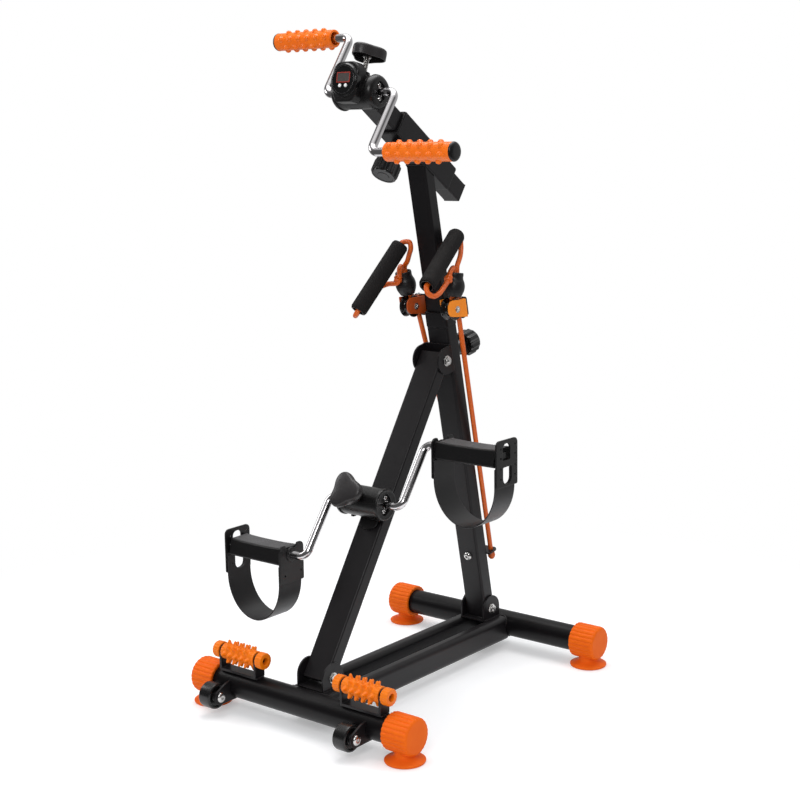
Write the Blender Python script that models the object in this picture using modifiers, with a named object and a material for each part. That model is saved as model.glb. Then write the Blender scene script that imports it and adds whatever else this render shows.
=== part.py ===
"""A folding rehabilitation exercise bike: pedals below for the feet, a hand crank above for the arms.

Every size is in metres. Y runs from the user's end to the rear, X to the machine's right side and
Z up. Places are given from the floor under the front foot tube, and the whole machine is then
shifted so that its origin lies under the middle of its outline.
"""
import math

import bmesh
import bpy
from mathutils import Matrix, Vector

# Fits
SEAT = 0.0003
RUN = 0.00035
WELD = 0.0004

# Base
WHEELBASE = 0.4868
HALF_WIDTH = 0.215
TUBE_RADIUS = 0.021
TUBE_WALL = 0.0016
TUBE_HEIGHT = 0.0405
CAP_LENGTH = 0.045
CAP_RADIUS = 0.028
CAP_END = 0.006
CAP_CHAMFER = 0.004
CUP_RADIUS = 0.030
CUP_NECK = 0.0165
CUP_NECK_END = 0.012
CUP_FLARE = 0.0078
CUP_FLARE_OUT = 0.003
CUP_EDGE = 0.0030
CUP_LIP = 0.001
CUP_RING = 0.006
CUP_HOLLOW = 0.003
RAIL_OUTER = 0.0407
RAIL_WIDTH = 0.023
RAIL_HEIGHT = 0.0415
RAIL_DROP = 0.005
RAIL_CORNER = 0.0095
RAIL_BITE = 0.012

# Bolts and U brackets
BOLT_RADIUS = 0.005
BOLT_HEAD = 0.0085
BOLT_HEAD_HEIGHT = 0.005
BOLT_CROWN = 0.0053
BOLT_RISE = 0.0043
BOLT_SHOULDER = 0.00175
NUT_RADIUS = 0.0076
BRACKET_WALL = 0.003
BRACKET_PLATE = 0.0025
BRACKET_PLAY = 0.00045
FOOT_CHEEK = 0.023
FOOT_BOLT_RISE = 0.0178
STRUT_FOOT_BEHIND = 0.0169
POST_FOOT_AHEAD = 0.0179
FOOT_GAP = 0.0005

# Massage rollers and transport wheels
ROLLER_Y = -0.0045
ROLLER_UP = 0.0295
ROLLER_INSET = 0.09225
ROLLER_LENGTH = 0.068
ROLLER_RADIUS = 0.0125
ROLLER_BORE = 0.0054
SPIKE_TIP = 0.019
SPIKE_BASE = 0.0042
SPIKE_POINT = 0.001
SPIKE_ROOT = 0.0015
SPIKE_PITCH = 0.0125
SPIKE_ROWS = 8
ROLLER_AXLE = 0.005
ROLLER_STRIP = 0.020
ROLLER_STRIP_WALL = 0.004
ROLLER_NUT = 0.0128
ROLLER_NUT_LENGTH = 0.0125
ROLLER_NUT_BORE = 0.0045
ROLLER_NUT_SINK = 0.005
ROLLER_NUT_EDGE = 0.001
WHEEL_AHEAD = 0.0195
WHEEL_Z = 0.031
WHEEL_RADIUS = 0.020
WHEEL_WIDTH = 0.023
WHEEL_INSET = 0.0795
WHEEL_PLATE = 0.0035
WHEEL_GAP = 0.0045
WHEEL_BOLT = 0.0045
WHEEL_BOSS = 0.012
WHEEL_LIP = 0.014
WHEEL_SPREAD = 10
WHEEL_COLLAR = 0.0075
WHEEL_HEAD = 0.003
WHEEL_EDGE = 0.003

# Strut and pedal unit for the feet
HINGE_Y = 0.3248
HINGE_Z = 0.5165
STRUT_WIDTH = 0.0457
STRUT_DEPTH = 0.0221
STRUT_WALL = 0.0016
STRUT_CORNER = 0.003
STRUT_END = 0.0092
FOOT_HUB_UP = 0.2663
FOOT_HUB_OUT = 0.0390
FOOT_BARREL = 0.0235
FOOT_BARREL_HALF = 0.036
FOOT_RIM = 0.025
FOOT_RIM_HALF = 0.041
FOOT_RIM_ROUND = 0.0025
FOOT_CRANK_PLANE = 0.0699
FOOT_THROW = 0.1064
FOOT_CRANK_LEAN = -35.65
FOOT_KNOB_LEAN = 60.0
FOOT_KNOB_FACE = 0.060
FOOT_KNOB_MEAN = 0.0257
FOOT_KNOB_WAVE = 0.0045
FOOT_KNOB_THICK = 0.013
FOOT_KNOB_EDGE = 0.0025
FOOT_KNOB_WIDE = 0.0195
FOOT_KNOB_NARROW = 0.0125
FOOT_KNOB_GAP = 0.004
SADDLE_IN = 0.010
SADDLE_HALF = 0.020
SADDLE_SIDE = 0.0165
SADDLE_PAD = 0.004
SADDLE_UP = 0.030
SADDLE_DOWN = 0.036
ROD_RADIUS = 0.00635
ROD_BEND = 0.013
ROD_SHORT = 0.006
ROD_END_PLAY = 0.0015
PEDAL_INNER = 0.100
PEDAL_OUTER = 0.220
PEDAL_PLATE = 0.003
PEDAL_FRONT = -0.026
PEDAL_REAR = 0.028
PEDAL_TOP = 0.0255
PEDAL_INNER_TOP = 0.0165
PEDAL_BOTTOM = -0.045
PEDAL_CORNER = 0.008
MOON_RADIUS = 0.008
MOON_HEIGHT = 0.0135
MOON_SQUASH = 0.62
SLOT_WIDTH = 0.022
SLOT_HEIGHT = 0.0235
SLOT_CENTRE = (0.0005, -0.02975)
SLOT_CORNER = 0.0055
TREAD_TOP = 0.012
TREAD_BOTTOM = -0.015
TREAD_FOOT = 0.0235
TREAD_CROWN = 0.0195
TREAD_CORNER = 0.003
STRAP_WIDTH = 0.050
STRAP_THICK = 0.002
STRAP_DROP = 0.112
STRAP_TOP = -0.0165

# Post
POST_WIDTH = 0.041
POST_DEPTH = 0.0273
POST_WALL = 0.002
POST_CORNER = 0.004
POST_SETBACK = 0.0315
POST_TOP = 0.0475
HINGE_CHEEK = 0.022
UPPER_WIDTH = 0.0364
UPPER_DEPTH = 0.0209
UPPER_WALL = 0.0016
UPPER_CORNER = 0.0022
UPPER_BOTTOM = -0.100
LOCK_HEIGHT = -0.001
LOCK_RADIUS = 0.021
LOCK_LENGTH = 0.024
LOCK_STANDOFF = 0.0335
LOCK_STEM = 0.004
LOCK_BOSS = 0.009
LOCK_BOSS_LENGTH = 0.008
LOCK_FLUTES = 12
LOCK_WAVE = 0.0006
LOCK_EDGE = 0.002
LOCK_NECK = 0.010
LOCK_NECK_WIDE = 0.0135
LOCK_HOLE = 0.020

# Pull bands
COLLAR_HEIGHT = 0.025
PULLEY_X = 0.041
PULLEY_FORWARD = 0.0211
PULLEY_UP = 0.084
PULLEY_RADIUS = 0.0175
PULLEY_GROOVE = 0.0115
PULLEY_WIDTH = 0.018
PULLEY_CHEEK = 0.002
PULLEY_PLAY = 0.001
PULLEY_AXLE = 0.003
PULLEY_RIM = 0.0015
PULLEY_FLOOR = 0.0035
PIN_HEAD = 0.005
PIN_CROWN = 0.0045
PIN_RISE = 0.0015
PIN_SINK = 0.0005
PULLEY_CHEEK_TOP = 0.015
PULLEY_CHEEK_BOTTOM = 0.013
PULLEY_CHEEK_FRONT = 0.0225
PULLEY_CHEEK_SHORT = 0.0115
PULLEY_CHEEK_CORNER = 0.011
EAR_PLATE = 0.003
EAR_BEHIND = 0.0053
EAR_TOP = 0.012
EAR_ROOT = 0.001
EAR_LOW = 0.010
EAR_DIP = 0.013
EAR_HEEL = 0.008
EAR_STEP = 0.0005
BAND_RADIUS = 0.004
BAND_STEPS = 5
WRAP_STEPS = 5
ANCHOR_HEIGHT = -0.361
ANCHOR_BOLT_HEIGHT = -0.3563
ANCHOR_REACH = 0.0155
ANCHOR_X = 0.016
ANCHOR_PLATE = 0.003
ANCHOR_MARGIN = 0.009
ANCHOR_CORNER = 0.006
ANCHOR_FLANGE = 0.015
ANCHOR_FLANGE_WALL = 0.003
ANCHOR_FLANGE_HEIGHT = 0.022
KNOT = ((0.0145, 0.55), (0.0135, 1.35), (0.0095, 1.7), (0.0055, 1.6), (0.0030, 1.25), (0.0025, 1.0))
STOPPER_X = 0.045
STOPPER_RADIUS = 0.0165
STOPPER_HEIGHT = 0.038
STOPPER_TOP = 0.0122
STOPPER_FOOT = 0.0112
STOPPER_MOUTH = 0.0098
STOPPER_FLOOR = 0.010
STOPPER_THROAT = 0.0125
STOPPER_SOCKET = 0.022
STOPPER_NECK = ((0.0131, 0.0365), (0.0130, 0.0305), (0.0150, 0.0245))
STOPPER_BELLY = (0.0185, 0.0140)
STOPPER_BOWL = ((0.0150, 0.0075), (0.0125, 0.0025))
HANDLE_RADIUS = 0.0135
HANDLE_BORE = 0.0046
HANDLE_EDGE = 0.003
LOOP_RADIUS = 0.004
LOOP_GAP = 0.0047
LOOP_CLEAR = 0.0028
LOOP_RISE = 0.005
LOOP_LEAD = 0.0015

# Arm, sleeve and crank unit for the hands
ARM_SLOPE = 35.2
ARM_WIDTH = 0.030
ARM_HEIGHT = 0.031
ARM_WALL = 0.0016
ARM_CORNER = 0.003
ARM_FRONT = 0.1352
ARM_REAR = 0.1148
SLEEVE_UP = 0.3289
SLEEVE_SIDE = 0.040
SLEEVE_LENGTH = 0.150
SLEEVE_PLAY = 0.0003
SLEEVE_EDGE = 0.0025
SLEEVE_KNOB_Y = -0.0487
HAND_HUB_FORWARD = 0.1597
HAND_HUB_DROP = 0.0065
HAND_BARREL = 0.024
HAND_RIM = 0.026
HAND_RIM_HALF = 0.033
HAND_DOME = 0.0395
HAND_DOME_EDGE = ((0.015, 0.0), (0.022, 0.002))
HAND_RIM_WIDTH = 0.003
HAND_CAVITY = 0.015
HAND_BOSS = 0.009
HAND_BOSS_HEIGHT = 0.007
HAND_CRANK_PLANE = 0.0673
HAND_THROW = 0.1036
HAND_CRANK_LEAN = 144.82
HAND_KNOB_LEAN = -18.5
HAND_KNOB_BASE = 0.0525
HAND_KNOB_TOP = 0.0695
HAND_KNOB_MEAN = 0.0242
HAND_KNOB_WAVE = 0.0038
HAND_KNOB_PHASE = 30.0
HAND_KNOB_EDGE = 0.003
NECK_WIDTH = 0.038
NECK_HEIGHT = 0.038
NECK_IN = 0.016
NECK_EDGE = 0.003
TONGUE_EDGE = 0.002
TONGUE = 0.014
GRIP_INNER = 0.099
GRIP_OUTER = 0.2205
GRIP_RADIUS = 0.0135
GRIP_CAP_RADIUS = 0.0139
GRIP_CAP_LENGTH = 0.0065
GRIP_CAP_CROWN = 0.008
GRIP_CAP_EDGE = 0.001
GRIP_CAP_ROUND = (0.0006, 0.0030, 0.0045)
GRIP_END = 0.009
DISPLAY_LEAN = -10.0
DISPLAY_FACE = 0.040
DISPLAY_HALF = 0.0265
DISPLAY_TOP = 0.039
DISPLAY_BOTTOM = -0.020
DISPLAY_CHIN = 0.016
DISPLAY_CORNER = 0.007
DISPLAY_EDGE = 0.0015
BUTTON_RADIUS = 0.0027
BUTTON_X = 0.0055
BUTTON_Z = 0.0033
BUTTON_PROUD = 0.0012
BUTTON_TRAVEL = 0.0010
BUTTON_LENGTH = 0.0045
CAVITY = 0.016
CAVITY_HALF = 0.026
SHOE_WIDTH = 0.020
SHOE_OUTER = 0.0125
KNOB_STEM = 0.0035
KNOB_LOBES = 3
KNOB_POINTS = 30
SCREW_HOLE = (0.008, 0.050)

# Where each side's stopper and handle hang, from the pulley's axle
SIDES = {
    "right": {
        "sign": 1,
        "stopper": Vector((0.0, 0.001, 0.0190)),
        "upward": Vector((0.0, 0.12, 1.0)).normalized(),
        "handle": (Vector((0.017, -0.084, 0.0437)), Vector((-0.006, 0.024, 0.1142))),
        "wrap": 75.0,
        "route_up": [
            (0.003, 0.013, 0.069), (0.0, 0.024, 0.081), (-0.006, 0.0345, 0.093),
            (-0.0087, 0.0375, 0.1012), (-0.0093, 0.0394, 0.1125),
        ],
        "route_down": [
            (0.0225, -0.0885, 0.0340), (0.0255, -0.0790, 0.0285), (0.0245, -0.0640, 0.0310),
            (0.0190, -0.0430, 0.0396), (0.0125, -0.0245, 0.0480), (0.0078, -0.0120, 0.0598),
        ],
    },
    "left": {
        "sign": -1,
        "stopper": Vector((0.0, -0.001, 0.0190)),
        "upward": Vector((-0.06, -0.25, 1.0)).normalized(),
        "handle": (Vector((-0.019, -0.107, 0.0012)), Vector((0.006, -0.030, 0.0997))),
        "wrap": 75.0,
        "route_up": [
            (0.002, -0.009, 0.072), (0.011, -0.015, 0.084), (0.0185, -0.0205, 0.094),
            (0.0155, -0.0205, 0.1035),
        ],
        "route_down": [
            (-0.0208, -0.1083, -0.0024), (-0.0238, -0.1067, -0.0049), (-0.0292, -0.1015, -0.0076),
            (-0.0318, -0.0950, -0.0056), (-0.0263, -0.0793, 0.0150), (-0.0235, -0.0560, 0.0300),
            (-0.0190, -0.0350, 0.0365), (0.0, -0.0330, 0.0395), (0.0, -0.0275, 0.0495),
            (-0.0035, -0.0225, 0.0600),
        ],
    },
}

# What the sizes above give
TUBE_TOP = TUBE_HEIGHT + TUBE_RADIUS
RAIL_TOP = TUBE_TOP - RAIL_DROP
BOLT_HEIGHT = RAIL_TOP + FOOT_BOLT_RISE
ROLLER_Z = TUBE_TOP + ROLLER_UP
ROLLER_MIDDLE = HALF_WIDTH - ROLLER_INSET
WHEEL_Y = -TUBE_RADIUS - WHEEL_AHEAD
WHEEL_PLATE_X = HALF_WIDTH - WHEEL_INSET
STRUT_FOOT = Vector((0.0, TUBE_RADIUS + STRUT_FOOT_BEHIND, BOLT_HEIGHT))
POST_FOOT = Vector((0.0, WHEELBASE - TUBE_RADIUS - POST_FOOT_AHEAD, BOLT_HEIGHT))
HINGE = Vector((0.0, HINGE_Y, HINGE_Z))
STRUT_SPAN = (HINGE - STRUT_FOOT).length
STRUT_LEAN = -math.degrees(math.atan2(HINGE.y - STRUT_FOOT.y, HINGE.z - STRUT_FOOT.z))
POST_REACH = (HINGE - POST_FOOT).length
POST_LEAN = math.degrees(
    math.atan2(POST_FOOT.y - HINGE.y, HINGE.z - POST_FOOT.z) - math.asin(POST_SETBACK / POST_REACH)
)
POST_DROP = math.sqrt(POST_REACH**2 - POST_SETBACK**2)
POST_SLANT = math.radians(POST_LEAN)
POST_FLOOR = FOOT_BOLT_RISE - SEAT - BRACKET_PLATE - FOOT_GAP
POST_TAIL = (POST_FLOOR - POST_DEPTH / 2 * math.sin(POST_SLANT)) / math.cos(POST_SLANT)
COLLAR_BOTTOM = POST_TOP + SEAT
COLLAR_TOP = COLLAR_BOTTOM + COLLAR_HEIGHT
PULLEY_SPOT_Y = POST_SETBACK - PULLEY_FORWARD
FRONT_EDGE = min(WHEEL_Y - WHEEL_RADIUS, -CUP_RADIUS)
REAR_EDGE = WHEELBASE + CUP_RADIUS
MIDDLE = (FRONT_EDGE + REAR_EDGE) / 2
PEDAL_MIDDLE = (PEDAL_INNER + PEDAL_OUTER) / 2
ROD_END = PEDAL_OUTER - PEDAL_PLATE - ROD_SHORT

# Turns an outline drawn in X and Y into one that faces sideways, or to the front
SIDEWAYS = Matrix(((0, 0, 1, 0), (1, 0, 0, 0), (0, 1, 0, 0), (0, 0, 0, 1)))
FRONTAL = Matrix(((1, 0, 0, 0), (0, 0, -1, 0), (0, 1, 0, 0), (0, 0, 0, 1)))
UPRIGHT = Matrix.Identity(4)

FINISHES = {
    "black_paint": ((0.016, 0.013, 0.016), 0.34, 0.55),
    "orange_plastic": ((0.90, 0.19, 0.014), 0.42, 0.0),
    "orange_rubber": ((0.74, 0.13, 0.012), 0.55, 0.0),
    "orange_paint": ((0.92, 0.22, 0.010), 0.35, 0.2),
    "black_plastic": ((0.020, 0.019, 0.021), 0.48, 0.0),
    "black_foam": ((0.016, 0.015, 0.016), 0.85, 0.0),
    "white_plastic": ((0.82, 0.82, 0.80), 0.40, 0.0),
    "steel": ((0.62, 0.61, 0.60), 0.25, 1.0),
    "chrome": ((0.80, 0.80, 0.81), 0.08, 1.0),
    "felt": ((0.25, 0.22, 0.18), 0.95, 0.0),
}

for old in list(bpy.data.objects):
    bpy.data.objects.remove(old, do_unlink=True)

PARTS = bpy.data.collections.new("rehabilitation_bike")
CUTTERS = bpy.data.collections.new("cutters")
for collection in (PARTS, CUTTERS):
    bpy.context.scene.collection.children.link(collection)

LEANS = {}


def pivot(name, parent, spot, lean=0.0):
    """An empty whose axes lean about X by that many degrees from upright, wherever its parent is."""
    made = bpy.data.objects.new(name, None)
    PARTS.objects.link(made)
    made.parent = parent
    made.location = spot
    made.rotation_euler = (math.radians(lean - LEANS.get(parent and parent.name, 0.0)), 0.0, 0.0)
    LEANS[made.name] = lean
    return made


def keep(name, data):
    made = bpy.data.objects.new(name, data)
    CUTTERS.objects.link(made)
    made.display_type = "WIRE"
    made.hide_render = True
    return made


def smooth(mesh, angle=35.0):
    mesh.shade_smooth()
    mesh.set_sharp_from_angle(angle=math.radians(angle))


def part(item, finish):
    """Moves a shape from the cutters to the parts and gives it a material of its own."""
    CUTTERS.objects.unlink(item)
    PARTS.objects.link(item)
    item.display_type = "TEXTURED"
    item.hide_render = False
    colour, roughness, metallic = FINISHES[finish]
    material = bpy.data.materials.new(item.name)
    material.use_nodes = True
    shader = material.node_tree.nodes["Principled BSDF"]
    shader.inputs["Base Color"].default_value = (*colour, 1.0)
    shader.inputs["Roughness"].default_value = roughness
    shader.inputs["Metallic"].default_value = metallic
    item.data.materials.append(material)
    return item


def put(item, parent, spot=(0.0, 0.0, 0.0), turn=(0.0, 0.0, 0.0)):
    item.parent = parent
    item.location = spot
    item.rotation_euler = turn
    return item


def block(name, low, high):
    """A box between two corners."""
    low, high = Vector(low), Vector(high)
    shape = bmesh.new()
    place = Matrix.Translation((low + high) / 2) @ Matrix.Diagonal((*(high - low), 1.0))
    bmesh.ops.create_cube(shape, size=1.0, matrix=place)
    mesh = bpy.data.meshes.new(name)
    shape.to_mesh(mesh)
    shape.free()
    return keep(name, mesh)


def toward(axis):
    return Vector(axis).to_track_quat("Z", "Y").to_matrix().to_4x4()


def drum(name, radius, start, end, sides=16, end_radius=None):
    """A cylinder or a cone from one point to another."""
    start, end = Vector(start), Vector(end)
    shape = bmesh.new()
    bmesh.ops.create_cone(
        shape,
        cap_ends=True,
        segments=sides,
        radius1=radius,
        radius2=radius if end_radius is None else end_radius,
        depth=(end - start).length,
        matrix=Matrix.Translation((start + end) / 2) @ toward(end - start),
    )
    mesh = bpy.data.meshes.new(name)
    shape.to_mesh(mesh)
    shape.free()
    smooth(mesh)
    return keep(name, mesh)


def turned(name, profile, axis=(0, 0, 1), sides=20):
    """A profile of (radius, height) points, top to bottom down its outer side, turned about an axis."""
    mesh = bpy.data.meshes.new(name)
    ring = profile[0] == profile[-1]
    points = profile[:-1] if ring else profile
    links = [(i, i + 1) for i in range(len(points) - 1)]
    if ring:
        links.append((len(points) - 1, 0))
    mesh.from_pydata([(radius, 0.0, height) for radius, height in points], links, [])
    item = keep(name, mesh)
    screw = item.modifiers.new("turn", "SCREW")
    screw.steps = sides
    screw.render_steps = sides
    screw.use_merge_vertices = True
    screw.merge_threshold = 0.00001
    return settled(item, toward(axis))


def settled(item, turn=UPRIGHT):
    """The item's evaluated shape as a plain welded mesh, turned once, under the same name."""
    name = item.name
    bpy.context.view_layer.update()
    found = item.evaluated_get(bpy.context.evaluated_depsgraph_get())
    mesh = bpy.data.meshes.new_from_object(found)
    bpy.data.objects.remove(item, do_unlink=True)
    shape = bmesh.new()
    shape.from_mesh(mesh)
    bmesh.ops.remove_doubles(shape, verts=shape.verts, dist=0.00001)
    shape.to_mesh(mesh)
    shape.free()
    mesh.transform(turn)
    smooth(mesh)
    made = keep(name, mesh)
    mesh.name = name
    return made


def rounded(points, radius, closed=True, steps=2):
    """The points with each corner replaced by an arc. Works on a flat outline and on a bent rod."""
    points = [Vector(point) for point in points]
    count = len(points)
    found = []
    for index, corner in enumerate(points):
        if not closed and index in (0, count - 1):
            found.append(corner)
            continue
        before = (points[index - 1] - corner).normalized()
        after = (points[(index + 1) % count] - corner).normalized()
        half = before.angle(after) / 2
        centre = corner + (before + after).normalized() * (radius / math.sin(half))
        first = (corner + before * (radius / math.tan(half)) - centre).normalized()
        last = (corner + after * (radius / math.tan(half)) - centre).normalized()
        found += [centre + first.slerp(last, step / steps) * radius for step in range(steps + 1)]
    return found


def arc(radius, first, last, steps, centre=(0.0, 0.0), squash=1.0):
    """Points of an arc, in degrees from +X."""
    angles = [math.radians(first + (last - first) * step / steps) for step in range(steps + 1)]
    return [
        Vector((centre[0] + radius * math.cos(a), centre[1] + radius * squash * math.sin(a))) for a in angles
    ]


def rectangle(width, height, centre=(0.0, 0.0)):
    x, y = centre
    half, rise = width / 2, height / 2
    return [(x - half, y - rise), (x + half, y - rise), (x + half, y + rise), (x - half, y + rise)]


def plate(name, loops, thickness, facing=UPRIGHT, spot=(0.0, 0.0, 0.0)):
    """A flat outline, with its holes as further loops, of that thickness about its plane."""
    curve = bpy.data.curves.new(name, "CURVE")
    curve.dimensions = "2D"
    curve.fill_mode = "BOTH"
    curve.extrude = thickness / 2
    for loop in loops:
        spline = curve.splines.new("POLY")
        spline.points.add(len(loop) - 1)
        spline.use_cyclic_u = True
        for point, (x, y) in zip(spline.points, loop):
            point.co = (x, y, 0.0, 1.0)
    return settled(keep(name, curve), Matrix.Translation(spot) @ facing)


def rod(name, route, radius, rings=3, swell=None):
    """A round bar or cord along a list of points, with flat ends."""
    curve = bpy.data.curves.new(name, "CURVE")
    curve.dimensions = "3D"
    curve.bevel_depth = radius
    curve.bevel_resolution = rings
    curve.use_fill_caps = True
    spline = curve.splines.new("POLY")
    spline.points.add(len(route) - 1)
    for index, (point, spot) in enumerate(zip(spline.points, route)):
        point.co = (*spot, 1.0)
        point.radius = swell[index] if swell else 1.0
    return keep(name, curve)


def combine(item, other, how, solver="EXACT"):
    change = item.modifiers.new(other.name, "BOOLEAN")
    change.operation = how
    change.object = other
    change.solver = solver
    return item


def cut(item, *others):
    for other in others:
        combine(item, other, "DIFFERENCE")
    return item


def join(item, *others):
    for other in others:
        combine(item, other, "UNION")
    return item


def bevel(item, width, segments=1, angle=40.0):
    change = item.modifiers.new("bevel", "BEVEL")
    change.width = width
    change.segments = segments
    change.limit_method = "ANGLE"
    change.angle_limit = math.radians(angle)
    return item


def box_tube(name, width, depth, wall, corner, low, high):
    """A rectangular tube along Z with rounded corners."""
    outer = rounded(rectangle(width, depth), corner)
    inner = rounded(rectangle(width - 2 * wall, depth - 2 * wall), corner / 2)
    return plate(name, [outer, inner], high - low, spot=(0.0, 0.0, (low + high) / 2))


def through_hole(name, parent, radius, reach, spot=(0.0, 0.0, 0.0), sides=12):
    """A cutter across the machine for a bolt or an axle."""
    hole = drum(name, radius, (-reach, 0, 0), (reach, 0, 0), sides)
    return put(hole, parent, spot)


def foot_tube(name, y):
    half = HALF_WIDTH - CAP_END - SEAT
    bore = TUBE_RADIUS - TUBE_WALL
    ring = [(bore, half), (TUBE_RADIUS, half), (TUBE_RADIUS, -half), (bore, -half), (bore, half)]
    return put(part(turned(name, ring, (1, 0, 0), 24), "black_paint"), BASE, (0.0, y, TUBE_HEIGHT))


def foot_cap(name, side, y):
    """A rubber cap on a tube's end, with its suction foot moulded under it."""
    seat = TUBE_RADIUS + SEAT
    profile = [
        (0.0, CAP_LENGTH),
        (CAP_RADIUS - CAP_CHAMFER, CAP_LENGTH),
        (CAP_RADIUS, CAP_LENGTH - CAP_CHAMFER),
        (CAP_RADIUS, 0.0),
        (seat, 0.0),
        (seat, CAP_LENGTH - CAP_END),
        (0.0, CAP_LENGTH - CAP_END),
    ]
    cap = part(turned(name, profile, (side, 0, 0), 24), "orange_rubber")
    put(cap, BASE, (side * (HALF_WIDTH - CAP_LENGTH), y, TUBE_HEIGHT))
    neck_top = TUBE_HEIGHT - (CAP_RADIUS + seat) / 2
    foot = [
        (0.0, neck_top),
        (CUP_NECK, neck_top),
        (CUP_NECK, CUP_NECK_END),
        (CUP_NECK + CUP_FLARE_OUT, CUP_FLARE),
        (CUP_RADIUS, CUP_EDGE + CUP_LIP),
        (CUP_RADIUS, CUP_LIP),
        (CUP_RADIUS - CUP_LIP, 0.0),
        (CUP_RADIUS - CUP_RING, 0.0),
        (0.0, CUP_HOLLOW),
    ]
    disc = turned(name + "_foot", foot, sides=16)
    return join(cap, put(disc, BASE, (side * (HALF_WIDTH - CAP_LENGTH / 2), y, 0.0)))


def rail(name, side):
    """A flat steel tube, coped to the two round foot tubes."""
    x = side * (RAIL_OUTER - RAIL_WIDTH / 2)
    z = RAIL_TOP - RAIL_HEIGHT / 2
    outline = rounded(rectangle(RAIL_WIDTH, RAIL_HEIGHT, (x, z)), RAIL_CORNER, steps=4)
    start, end = RAIL_BITE, WHEELBASE - RAIL_BITE
    bar = plate(name, [outline], end - start, FRONTAL, (0.0, (start + end) / 2, 0.0))
    put(part(bar, "black_paint"), BASE)
    for place, y in (("front", 0.0), ("rear", WHEELBASE)):
        cope = through_hole(
            f"{name}_{place}_cope", BASE, TUBE_RADIUS + SEAT, HALF_WIDTH, (0.0, y, TUBE_HEIGHT), 24,
        )
        cut(bar, cope)
    return bar


def u_bracket(name, inner, side_loop, length, base_low, base_high, top):
    """Two cheeks on a base plate, bent from one strip: a U seen from the front, trimmed to a side outline."""
    outer = inner + BRACKET_WALL
    section = [
        (-outer, base_low), (outer, base_low), (outer, top), (inner, top),
        (inner, base_high), (-inner, base_high), (-inner, top), (-outer, top),
    ]
    bracket = plate(name, [section], length, FRONTAL)
    side = plate(name + "_side", [side_loop], 2 * outer + 0.01, SIDEWAYS)
    combine(bracket, side, "INTERSECT")
    return bracket, side


def foot_bracket(name, spot, half_width):
    """The U bracket that holds a frame tube's foot between its cheeks, on the two rails."""
    inner = half_width + BRACKET_PLAY
    low = RAIL_TOP + SEAT - BOLT_HEIGHT
    cheek = FOOT_CHEEK
    loop = [Vector((-cheek, low - WELD)), Vector((cheek, low - WELD))] + arc(cheek, 0, 180, 12)
    bracket, side = u_bracket(name, inner, loop, 3 * cheek, low, low + BRACKET_PLATE, cheek + 0.01)
    put(part(bracket, "black_paint"), BASE, spot)
    put(side, BASE, spot)
    return cut(bracket, through_hole(name + "_hole", BASE, BOLT_RADIUS + SEAT, 0.05, spot))


def bolt(name, parent, spot, grip, tail=None):
    """A domed bolt across two cheeks with its nut, or only its head and the end of its shank."""
    head = grip + SEAT
    profile = [
        (0.0, head + BOLT_HEAD_HEIGHT),
        (BOLT_CROWN, head + BOLT_RISE),
        (BOLT_HEAD, head + BOLT_SHOULDER),
        (BOLT_HEAD, head),
        (BOLT_RADIUS, head),
    ]
    if tail is None:
        profile += [
            (BOLT_RADIUS, -head),
            (NUT_RADIUS, -head),
            (NUT_RADIUS, -head - BOLT_HEAD_HEIGHT),
            (0.0, -head - BOLT_HEAD_HEIGHT),
        ]
    else:
        profile += [(BOLT_RADIUS, tail), (0.0, tail)]
    return put(part(turned(name, profile, (1, 0, 0), 12), "steel"), parent, spot)


def roller_set(side):
    """A spiked massage roller on its axle, in a bent strip bracket on the front tube."""
    word = "right" if side > 0 else "left"
    half = ROLLER_LENGTH / 2
    x = side * ROLLER_MIDDLE
    inner = half + SEAT
    outer = inner + ROLLER_STRIP_WALL
    low = TUBE_HEIGHT + TUBE_RADIUS + SEAT - ROLLER_Z
    floor = low + ROLLER_STRIP_WALL
    reach = ROLLER_STRIP / 2
    section = [
        (-outer, low), (outer, low), (outer, 2 * reach), (inner, 2 * reach),
        (inner, floor), (-inner, floor), (-inner, 2 * reach), (-outer, 2 * reach),
    ]
    name = f"roller_bracket_{word}"
    spot = (x, ROLLER_Y, ROLLER_Z)
    bracket = put(part(plate(name, [section], 2 * ROLLER_STRIP, FRONTAL), "black_paint"), BASE, spot)
    loop = [Vector((-reach, low - WELD)), Vector((reach, low - WELD))] + arc(reach, 0, 180, 8)
    side_cut = put(plate(name + "_side", [loop], 3 * outer, SIDEWAYS), BASE, spot)
    combine(bracket, side_cut, "INTERSECT")
    cut(bracket, through_hole(name + "_hole", BASE, ROLLER_AXLE + SEAT, 2 * outer, spot))

    nut_start = outer + SEAT
    nut_end = nut_start + ROLLER_NUT_LENGTH
    half_axle = [
        (0.0, nut_end - ROLLER_NUT_SINK), (ROLLER_NUT_BORE, nut_end - ROLLER_NUT_SINK),
        (ROLLER_NUT_BORE, nut_end), (ROLLER_NUT - ROLLER_NUT_EDGE, nut_end),
        (ROLLER_NUT, nut_end - ROLLER_NUT_EDGE), (ROLLER_NUT, nut_start), (ROLLER_AXLE, nut_start),
    ]
    axle = half_axle + [(radius, -end) for radius, end in reversed(half_axle)]
    put(part(turned(f"roller_axle_{word}", axle, (1, 0, 0), 12), "orange_plastic"), BASE, spot)

    hub = pivot(f"roller_spin_{word}", BASE, spot)
    ring = [
        (ROLLER_BORE, half), (ROLLER_RADIUS, half), (ROLLER_RADIUS, -half),
        (ROLLER_BORE, -half), (ROLLER_BORE, half),
    ]
    roller = put(part(turned(f"massage_roller_{word}", ring, (1, 0, 0), 16), "orange_plastic"), hub)
    return join(roller, put(spikes(f"roller_spikes_{word}"), hub))


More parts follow.
